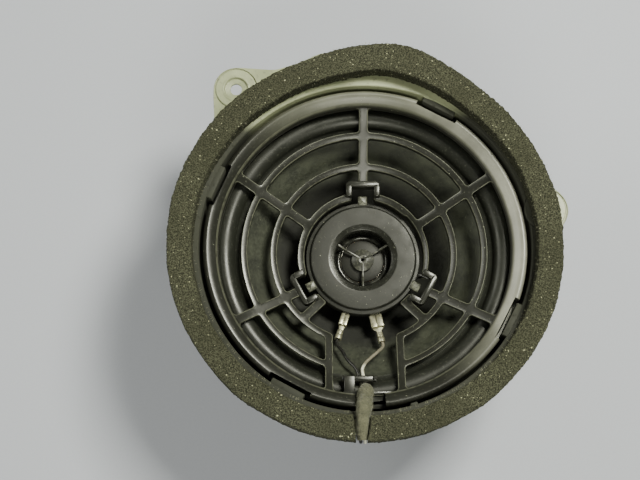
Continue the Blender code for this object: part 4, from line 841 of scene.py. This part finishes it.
BAR_TOP = dish(0.0623) + 0.0001
sill = slab([(-0.0101, -0.0669), (0.0150, -0.0669), (0.0150, -0.0690), (-0.0101, -0.0690)],
            dish(0.0672) - 0.0030, dish(0.0678) + 0.0002, 0.0003)
leg = slab(box_outline(-0.0098, -0.0048, -0.0691, -0.0598), BAR_TOP - 0.0011, BAR_TOP + 0.0020, 0.0004, 0,
           0.0006)
bar = slab(box_outline(-0.0107, 0.0052, -0.0623, -0.0594), BAR_TOP - 0.0019, BAR_TOP, 0.0005, 0, 0.0007)
barb = slab(box_outline(0.0036, 0.0053, -0.0621, -0.0596), BAR_TOP - 0.0010, BAR_TOP + 0.0014, 0.0004, 0,
            0.0004)
fitted("lead_finger", joined(sill, leg, bar, barb), nylon)


# ---- Tweeter ----
# A small horn tweeter clipped into the carrier: a black face with a chamfered mouth, a phase plug on
# three fins, a glossy roll round a coated dome, and a cup-shaped rear housing.

FACE = 0.0505
TIER = FACE - 0.0018
DOME = FACE - 0.0091

tweeter_black = Finish("tweeter_black", roughness=0.5, specular_ior_level=0.36)
face_grain = tweeter_black.grain(2400.0, 3.0)
face_haze = tweeter_black.between(tweeter_black.grain(130.0, 5.0), 0.35, 0.75)
face_dust = tweeter_black.between(tweeter_black.grain(1000.0, 4.0, 0.7), 0.54, 0.74)
face_specks = tweeter_black.between(tweeter_black.grain(1600.0, 1.0), 0.76, 0.79)
face_tone = tweeter_black.mix(face_dust * 0.6, (0.012, 0.0125, 0.010), (0.050, 0.052, 0.038))
tweeter_black.paint("Base Color", tweeter_black.mix(face_specks, face_tone, (0.42, 0.43, 0.33)))
horn_polish = 1 - tweeter_black.between(tweeter_black.radius(), 0.0163, 0.0168)
tweeter_black.paint("Roughness", 0.42 + face_haze * 0.14 + face_dust * 0.2 - horn_polish * 0.24)
tweeter_black.relief(face_grain, 0.00005, 0.7)

face_shape = lathe(rounded([
    (0.0276, TIER - 0.0014), (0.0276, TIER, 0.0004), (0.0258, TIER + 0.0001, 0.0004), (0.0252, FACE, 0.0005),
    (0.0166, FACE, 0.0004), (0.0138, FACE - 0.0009, 0.0004), (0.0136, FACE - 0.0022, 0.0005),
    (0.0135, DOME + 0.0013), (0.0155, DOME + 0.0012), (0.0155, TIER - 0.0014)], 0.0002, 4), 160)
fitted("tweeter_front", face_shape, tweeter_black, nodes=("tweeter_face",))
worn_tip = Finish("worn_tip", roughness=0.4)
worn_grain = worn_tip.between(worn_tip.grain(700.0, 4.0), 0.35, 0.7)
worn_tip.paint("Base Color", worn_tip.mix(worn_grain, (0.045, 0.046, 0.036), (0.17, 0.175, 0.135)))
worn_tip.relief(worn_grain, 0.00006, 0.6)
tips = [slab(box_outline(0.0264, 0.0310, -0.00225, 0.00225), TIER - 0.0012, TIER + 0.0007, 0.0005, angle,
             0.0005) for angle in CLIP_ANGLES]
fitted("clip_tips", joined(*tips), worn_tip)
TIP = FACE - 0.0048
FIN_ANGLES = (30, 150, 270)
plug = lathe(rounded([(0.0008, TIP - 0.0017), (0.0008, TIP - 0.0001, 0.0002), (0.0021, TIP, 0.0003),
                      (0.0055, TIP - 0.0013, 0.0004), (0.0054, TIP - 0.0019)], 0.0001, 4),
             64)
fins = [slab(box_outline(0.0016, 0.0142, -0.00048, 0.00048), TIP - 0.0014, TIP + 0.0002, 0.0002, angle)
        for angle in FIN_ANGLES]
risers = [slab([(0.0085, -0.0005), (0.0143, -0.0005), (0.0143, 0.0005), (0.0085, 0.0005)], TIP - 0.0010,
               FACE - 0.0022, 0.0002, angle) for angle in FIN_ANGLES]
for rise in risers:
    for vert in rise.verts:
        if vert.co.z > TIP + 0.0008:
            away = math.hypot(vert.co.x, vert.co.y)
            vert.co.z -= max(0.0, 0.0142 - away) * 0.40
plug_black = Finish("plug_black", roughness=0.34)
plug_dust = plug_black.between(plug_black.grain(900.0, 4.0), 0.45, 0.72)
plug_black.paint("Base Color", plug_black.mix(plug_dust, (0.022, 0.0225, 0.018), (0.070, 0.072, 0.055)))
plug_black.relief(plug_black.grain(2400.0, 3.0), 0.00004, 0.6)
fitted("phase_plug", joined(plug, *fins, *risers), plug_black)

gloss_film = Finish("dome_film", roughness=0.14)
film_haze = gloss_film.between(gloss_film.grain(260.0, 4.0), 0.4, 0.7)
gloss_film.paint("Base Color", gloss_film.mix(film_haze, (0.010, 0.010, 0.009), (0.028, 0.029, 0.024)))
gloss_film.paint("Roughness", 0.10 + film_haze * 0.16)
gloss_film.relief(film_haze, 0.00004, 0.4)
EDGE = DOME + 0.0003
roll = [(0.0106 + 0.0025 * i / 14, EDGE - 0.0002 + 0.0009 * math.sin(math.pi * i / 14)) for i in range(15)]
roll.append((0.0155, EDGE - 0.0002))
film = laid("tweeter_roll", lathe([*roll, *((r, z + 0.0002) for r, z in reversed(roll))], 96), gloss_film,
            ("tweeter_surround",))
ring_blend(film)
dome_cloth = Finish("dome_cloth", roughness=0.5, specular_ior_level=0.3)
dome_weave = dome_cloth.cells(2600.0)
dome_cloth.paint("Base Color", dome_cloth.mix(dome_weave, (0.006, 0.006, 0.005), (0.016, 0.0165, 0.013)))
dome_cloth.relief(dome_weave, 0.00006, 0.6)
cap = [(0.0103 * math.sin(turn), EDGE + 0.0012 * math.cos(turn) ** 1.6)
       for turn in (math.pi / 2 * i / 14 for i in range(15))]
fitted("tweeter_cap", lathe([*cap, *((r, z - 0.0002) for r, z in reversed(cap))], 96), dome_cloth,
       "tweeter_diaphragm", ("tweeter_dome",))

FLOOR = DOME - 0.0003
BACK = FLOOR - 0.0048
housing_shape = lathe(rounded([
    (0.0128, BACK), (0.0175, BACK, 0.0010), (0.0185, BACK + 0.001, 0.0006), (0.0185, FLOOR - 0.0018, 0.0006),
    (0.0266, FLOOR - 0.0012, 0.0010), (0.0276, FLOOR, 0.0006), (0.0276, TIER - 0.0017, 0.0003),
    (0.0261, TIER - 0.0017), (0.0261, FLOOR + 0.001), (0.0159, FLOOR + 0.001), (0.0159, FLOOR),
    (0.0128, FLOOR)], 0.0003), 120)
fitted("tweeter_can", housing_shape, tweeter_black, nodes=("tweeter_rear_housing",))


# ---- Tabs and receptacles ----
# Two tinned blades of different width leave the housing and bend forward. A crimped push-on
# receptacle sits on each, its sides rolled over the blade and its barrel closed on the lead.

TERMINALS = {"narrow": (-107.2, 0.0028, 0.0041, 0.0152), "wide": (-78.3, 0.0048, 0.0061, 0.0157)}
TAB_ROOT = 0.0280
TAB_HEIGHT = FACE - 0.0046
TAB_SLOPE = math.radians(22)

tin = Finish("dull_tin", metallic=0.85, roughness=0.36)
tin_cloud = tin.between(tin.grain(420.0, 5.0), 0.35, 0.7)
tin_stain = tin.between(tin.grain(1500.0, 3.0), 0.60, 0.72)
tin_tone = tin.mix(tin_cloud, (0.40, 0.39, 0.27), (0.58, 0.57, 0.43))
tin.paint("Base Color", tin.mix(tin_stain * 0.7, tin_tone, (0.20, 0.18, 0.12)))
tin.paint("Roughness", 0.30 + tin_cloud * 0.15 + tin_stain * 0.2)
tin.relief(tin.grain(2800.0, 3.0), 0.00003, 0.5)


def terminal_place(angle):
    """Turns a terminal's own axes, +X out along the blade, into the speaker's."""
    turn = math.radians(angle)
    root = Vector((TAB_ROOT * math.cos(turn), TAB_ROOT * math.sin(turn), TAB_HEIGHT))
    return (Matrix.Translation(root) @ Matrix.Rotation(math.radians(angle), 4, "Z")
            @ Matrix.Rotation(-TAB_SLOPE, 4, "Y"))


def tube_between(start, end, outer, inner, steps=24, flatten=1.0):
    """A short open pipe along X with eased mouths."""
    wall = rounded([(inner, start), (outer, start, 0.0001), (outer, end, 0.0001), (inner, end)], 0.00005)
    pipe = lathe(wall, steps)
    for vert in pipe.verts:
        x, y, z = vert.co
        vert.co = (z, x, y * flatten)
    bmesh.ops.recalc_face_normals(pipe, faces=pipe.faces)
    return pipe


for kind, (angle, tab_width, width, length) in TERMINALS.items():
    place = terminal_place(angle)
    flat = 0.00025
    tab_half = tab_width / 2
    blade = slab([(-0.0002, -tab_half), (0.0060, -tab_half), (0.0068, -tab_half + 0.0007),
                  (0.0068, tab_half - 0.0007), (0.0060, tab_half), (-0.0002, tab_half)], -flat, flat, 0.00008)
    root = slab(box_outline(-0.0045, 0.0001, -tab_half, tab_half), -flat, flat, 0.00008)
    bmesh.ops.rotate(root, verts=root.verts, cent=(0, 0, 0), matrix=Matrix.Rotation(TAB_SLOPE, 3, "Y"))
    tab = joined(blade, root)
    bmesh.ops.transform(tab, matrix=place, verts=tab.verts)
    fitted(f"blade_{kind}", tab, tin, nodes=(f"tweeter_tab_{kind}",))

    half, box_end = width / 2, length * 0.46
    floor_strip = slab([(0.0004, -half + 0.0004), (box_end, -half + 0.0004), (box_end + 0.0014, -0.0011),
                        (length * 0.66, -0.0011), (length * 0.66, 0.0011), (box_end + 0.0014, 0.0011),
                        (box_end, half - 0.0004), (0.0004, half - 0.0004)], -0.00105, -0.00060, 0.0001)
    sides = []
    for side in (-1, 1):
        wall = slab(box_outline(0.0004, box_end, half - 0.00050, half), -0.00085, 0.00085, 0.0002)
        curl = slab([(0.0006, 0.0002), (box_end - 0.0003, 0.0002), (box_end - 0.0001, half - 0.0001),
                     (0.0004, half - 0.0001)], 0.00055, 0.00105, 0.0002)
        for part in (wall, curl):
            if side < 0:
                bmesh.ops.scale(part, verts=part.verts, vec=(1, -1, 1))
                bmesh.ops.reverse_faces(part, faces=part.faces)
            sides.append(part)
    crimp = tube_between(length * 0.66, length * 0.82, 0.0015, 0.0009, flatten=0.85)
    grip = tube_between(length * 0.84, length, 0.0017, 0.00105)
    for part in (crimp, grip):
        bmesh.ops.translate(part, verts=part.verts, vec=(0, 0, 0.0002))
    ears = [slab(box_outline(start, start + 0.0009, -0.00055, 0.00055), 0.0012, 0.00185, 0.0002, 0, 0.0002)
            for start in (length * 0.68, length * 0.86)]
    clip = joined(floor_strip, *sides, crimp, grip, *ears)
    bmesh.ops.transform(clip, matrix=place, verts=clip.verts)
    fitted(f"push_on_{kind}", clip, tin, nodes=(f"receptacle_{kind}",))


# ---- Leads and fleece sleeve ----
# Two thin stranded leads, black and white, run from the barrels under the finger, through a felt
# sleeve that stops them buzzing, over the flange and down to the connector at the back.

SLEEVE_ROUTE = [(0.0001, -0.0656, 0.0755), (-0.0006, -0.0705, 0.0803), (-0.0013, -0.0760, 0.0853),
                (-0.0020, -0.0825, 0.0865), (-0.0019, -0.0898, 0.0860)]
NARROW_ROUTE = [(-0.0105, -0.0462, 0.0570), (-0.0079, -0.0511, 0.0610), (-0.0042, -0.0556, 0.0642),
                (-0.0026, -0.0605, 0.0663), (-0.0020, -0.0631, 0.0677), (-0.0014, -0.0648, 0.0715)]
WIDE_ROUTE = [(0.0062, -0.0470, 0.0580), (0.0033, -0.0497, 0.0602), (0.0003, -0.0528, 0.0625),
              (-0.0012, -0.0560, 0.0645), (-0.0006, -0.0605, 0.0663), (0.0001, -0.0631, 0.0677),
              (0.0007, -0.0648, 0.0715)]
REAR_ROUTE = [(-0.0018, -0.0905, 0.0838), (-0.0018, -0.0903, 0.0815), (-0.0018, -0.0894, 0.0785),
              (-0.0019, -0.0880, 0.0720), (-0.0024, -0.0872, 0.0600), (-0.0030, -0.0850, 0.0480),
              (-0.0032, -0.0815, 0.0395)]


def smooth_path(points, count):
    """Evenly counted points on a Catmull-Rom curve through the given ones."""
    points = [Vector(point) for point in points]
    ends = [2 * points[0] - points[1], *points, 2 * points[-1] - points[-2]]
    spans = len(points) - 1
    path = []
    for i in range(count + 1):
        place = min(i / count * spans, spans - 1e-9)
        k, t = int(place), place - int(place)
        a, b, c, d = ends[k:k + 4]
        path.append(0.5 * (2 * b + (c - a) * t + (2 * a - 5 * b + 4 * c - d) * t * t
                           + (3 * b - a - 3 * c + d) * t ** 3))
    return path


def pipe_along(path, radius_at, sides=14, closed=True):
    """A round tube swept along a path, with a radius for each share of its length."""
    shape = bmesh.new()
    grid = bmesh.ops.create_grid(shape, x_segments=len(path) - 1, y_segments=sides, size=1.0)["verts"]
    grid.sort(key=lambda v: (round(v.co.x, 6), round(v.co.y, 6)))
    across = Vector((1, 0, 0))
    for i, place in enumerate(path):
        ahead = (path[min(i + 1, len(path) - 1)] - path[max(i - 1, 0)]).normalized()
        across = (across - ahead * across.dot(ahead)).normalized()
        up = ahead.cross(across)
        radius = radius_at(i / (len(path) - 1))
        for k in range(sides + 1):
            t = math.tau * k / sides
            grid[i * (sides + 1) + k].co = place + radius * (math.cos(t) * across + math.sin(t) * up)
    bmesh.ops.remove_doubles(shape, verts=shape.verts, dist=1e-7)
    if closed:
        bmesh.ops.holes_fill(shape, edges=[e for e in shape.edges if e.is_boundary], sides=0)
    bmesh.ops.recalc_face_normals(shape, faces=shape.faces)
    return shape


black_vinyl = Finish("black_vinyl", roughness=0.32)
vinyl_dust = black_vinyl.between(black_vinyl.grain(1400.0, 4.0), 0.5, 0.75)
black_vinyl.paint("Base Color", black_vinyl.mix(
    vinyl_dust * 0.6, (0.012, 0.012, 0.012), (0.080, 0.080, 0.065)))
black_vinyl.paint("Roughness", 0.28 + vinyl_dust * 0.25)
black_vinyl.relief(black_vinyl.grain(900.0, 2.0), 0.00004, 0.5)
white_vinyl = Finish("white_vinyl", roughness=0.38)
white_grime = white_vinyl.between(white_vinyl.grain(700.0, 5.0), 0.42, 0.72)
# The white lead is coloured dark brown on the stretch next to its crimp.
white_dark_stretch = white_vinyl.between(white_vinyl.along(90), -0.0555, -0.0525)
white_tone = white_vinyl.mix(white_grime, (0.62, 0.62, 0.53), (0.36, 0.34, 0.25))
white_vinyl.paint("Base Color", white_vinyl.mix(white_dark_stretch * 0.85, white_tone, (0.085, 0.070, 0.045)))
white_vinyl.paint("Roughness", 0.32 + white_grime * 0.25)
white_vinyl.relief(white_vinyl.grain(900.0, 2.0), 0.00004, 0.5)

for name, kind, route, offset, finish in (("lead_black", "narrow", NARROW_ROUTE, -0.000975, black_vinyl),
                                          ("lead_white", "wide", WIDE_ROUTE, 0.000975, white_vinyl)):
    place = terminal_place(TERMINALS[kind][0])
    length = TERMINALS[kind][3]
    held = [place @ Vector((length - 0.0024, 0, 0.0002)), place @ Vector((length + 0.0022, 0, 0.0004)),
            *route]
    held += [Vector((x + offset, y, z)) for x, y, z in SLEEVE_ROUTE + REAR_ROUTE]
    held.append(Vector((REAR_ROUTE[-1][0] + offset, -0.0805, 0.0370)))
    fitted(f"{name}_insulated", pipe_along(smooth_path(held, 200), lambda share: 0.00075), finish,
           nodes=(name,))

fleece = Finish("fleece", roughness=0.95, sheen_weight=0.15, sheen_roughness=0.5)
fleece_fibre = fleece.grain(2200.0, 5.0, 0.75)
fleece_clump = fleece.between(fleece.grain(420.0, 4.0), 0.35, 0.7)
fleece_tone = fleece.mix(fleece_fibre, (0.020, 0.021, 0.012), (0.108, 0.110, 0.068))
fleece.paint("Base Color", fleece.mix(fleece_clump * 0.4, fleece_tone, (0.155, 0.152, 0.098)))
fleece.relief(fleece_fibre, 0.0003, 0.9)
sleeve_path = smooth_path(SLEEVE_ROUTE, 110)


def sleeve_radius(share):
    taper = max(0.0, share - 0.45) / 0.55
    pinch = max(0.0, 0.12 - share) / 0.12
    return 0.0035 * (1 + 0.04 * math.sin(share * 17)) * (1 - 0.30 * taper) * (1 - 0.25 * pinch)


sleeve = pipe_along(sleeve_path, sleeve_radius, 64)
sleeve.normal_update()
for vert in sleeve.verts:
    depth = 0.00035 * noise.noise(vert.co * 500) + 0.0003 * noise.noise(vert.co * 1500)
    vert.co += vert.normal * depth
fitted("felt_sleeve", sleeve, fleece, nodes=("fleece_sleeve",), sharp=180)

random.seed(11)


def fibres(anchors, length, thickness, droop):
    """Short tapering hairs, each three-sided and bent once, growing from (point, direction) pairs."""
    shape = bmesh.new()
    for point, way in anchors:
        reach = length * random.uniform(0.5, 1.3)
        lean = Vector([random.uniform(-1, 1) for _ in range(3)])
        bend = (way + lean * 0.8 + Vector((0, 0, -droop))).normalized()
        knee = point + way * reach * 0.45
        tip = knee + bend * reach * 0.55
        side = way.orthogonal().normalized()
        other = way.cross(side)
        rings = []
        for centre, wide in ((point - way * 0.0002, thickness), (knee, thickness * 0.8)):
            rings.append([shape.verts.new(centre + wide * (math.cos(a) * side + math.sin(a) * other))
                          for a in (0, math.tau / 3, 2 * math.tau / 3)])
        end = shape.verts.new(tip)
        shape.faces.new(rings[0][::-1])
        for k in range(3):
            shape.faces.new((rings[0][k - 1], rings[0][k], rings[1][k], rings[1][k - 1]))
            shape.faces.new((rings[1][k - 1], rings[1][k], end))
    bmesh.ops.recalc_face_normals(shape, faces=shape.faces)
    return shape


hairs = []
for _ in range(900):
    i = random.randrange(1, 110)
    centre, ahead = sleeve_path[i], (sleeve_path[i] - sleeve_path[i - 1]).normalized()
    across = Vector((1, 0, 0)).cross(ahead).normalized()
    spin_angle = random.uniform(0, math.tau)
    out = (math.cos(spin_angle) * ahead.cross(across) + math.sin(spin_angle) * across).normalized()
    hairs.append((centre + out * (sleeve_radius(i / 110) - 0.0001),
                  (out + ahead * random.uniform(-1, 1)).normalized()))
fitted("felt_hairs", fibres(hairs, 0.0013, 0.00005, 0.1), fleece)

tufts = []
for _ in range(700):
    angle = random.uniform(0, math.tau)
    degrees = math.degrees(angle)
    if 264 < degrees < 272:
        continue
    outer_side = random.random() < 0.6
    base = 0.0901 + 0.0056 * bulge(degrees) if outer_side else 0.0780 + 0.0038 * bulge(degrees)
    sign = 1 if outer_side else -1
    out = Vector((math.cos(angle) * sign, math.sin(angle) * sign, 0))
    height = random.choice((FOAM_HIGH - 0.0004, random.uniform(FOAM_LOW + 0.001, FOAM_HIGH)))
    point = Vector((math.cos(angle) * base, math.sin(angle) * base, height)) - out * 0.0003
    tufts.append((point, (out + Vector((0, 0, random.uniform(-0.2, 0.9)))).normalized()))
foam_wisp = Finish("foam_wisps", roughness=0.9)
foam_wisp.paint("Base Color", foam_wisp.mix(foam_wisp.grain(300.0), (0.10, 0.10, 0.07), (0.30, 0.30, 0.21)))
foam_wisp.relief(foam_wisp.grain(2000.0), 0.00005, 0.5)
fitted("foam_wisps", fibres(tufts, 0.0011, 0.00007, 0.2), foam_wisp)


# ---- Back of the basket ----
# A pressed board with two rivets carries the connector and the tweeter's blocking capacitor. Braided
# tinsel leads cross from the board to the cone.

board_card = Finish("pressed_board", roughness=0.7)
board_fibre = board_card.grain(800.0, 6.0, 0.7)
board_card.paint("Base Color", board_card.mix(board_fibre, (0.115, 0.060, 0.025), (0.24, 0.14, 0.06)))
board_card.relief(board_fibre, 0.00008, 0.6)
refinish(board_card, "terminal_board")

connector_black = Finish("connector_black", roughness=0.45)
connector_grain = connector_black.grain(2000.0, 3.0)
connector_black.paint("Base Color", connector_black.mix(
    connector_grain, (0.013, 0.013, 0.013), (0.035, 0.035, 0.033)))
connector_black.relief(connector_grain, 0.00005, 0.6)
refinish(connector_black, "connector_housing")
refinish(tin, "connector_pin_1", "connector_pin_2", "connector_pin_3", "connector_pin_4")

shrink_sleeve = Finish("shrink_sleeve", roughness=0.3)
sleeve_ripple = shrink_sleeve.grain(380.0, 4.0)
shrink_sleeve.paint("Base Color", shrink_sleeve.mix(
    sleeve_ripple, (0.018, 0.032, 0.105), (0.040, 0.065, 0.19)))
shrink_sleeve.relief(sleeve_ripple, 0.00012, 0.6)
can = lathe(rounded([(0, -0.0080), (0.0030, -0.0080), (0.0034, -0.0077), (0.0055, -0.0077, 0.0009),
                     (0.0055, -0.0054, 0.0004), (0.0051, -0.0050, 0.0004), (0.0055, -0.0046, 0.0004),
                     (0.0055, 0.0080, 0.0010), (0, 0.0080)],
                    0.0002), 64)


def middle_of(node):
    """The middle of a solid's box."""
    low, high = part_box(node)
    return (Vector(low) + Vector(high)) / 2


can_middle = middle_of("crossover_capacitor")
for vert in can.verts:
    x, y, z = vert.co
    vert.co = (z, x + can_middle.y, y + can_middle.z)
bmesh.ops.recalc_face_normals(can, faces=can.faces)
fitted("capacitor_can", can, shrink_sleeve, nodes=("crossover_capacitor",))
# Two tinned wire legs hang the capacitor from the board's rivets.
for number in (1, 2):
    foot = middle_of(f"terminal_rivet_{number}")
    foot.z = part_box(f"terminal_rivet_{number}")[0][2] + 0.0004
    way = math.copysign(1, foot.x)
    bends = ((0.0074, 0, 0), (0.0092, 0, 0.0001), (0.0108, -0.0004, 0.0012), (0.0110, -0.0020, 0.0040))
    leg_route = [can_middle + Vector((way * x, y, z)) for x, y, z in bends]
    leg_route += [foot + Vector((way * 0.0006, 0.0010, -0.0030)), foot]
    fitted(f"capacitor_leg_{number}", pipe_along(smooth_path(leg_route, 40), lambda share: 0.0004, 10), tin)

braid = Finish("tinsel_braid", metallic=0.8, roughness=0.45)
braid_weave = braid.cells(2600.0)
braid.paint("Base Color", braid.mix(braid_weave, (0.62, 0.30, 0.14), (0.25, 0.10, 0.05)))
braid.relief(braid_weave, 0.00012, 0.9)
for name, side in (("tinsel_lead_positive", 1), ("tinsel_lead_negative", -1)):
    route = [(side * 0.0055, -0.0462, 0.0335), (side * 0.0056, -0.0425, 0.0300),
             (side * 0.0058, -0.0370, 0.0285), (side * 0.0060, -0.0320, 0.0300),
             (side * 0.0060, -0.0284, cone_front(0.029) - 0.0020)]
    lead = laid(f"{name}_braid", pipe_along(smooth_path(route, 40), lambda share: 0.0006, 12), braid, (name,))
    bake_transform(lead)
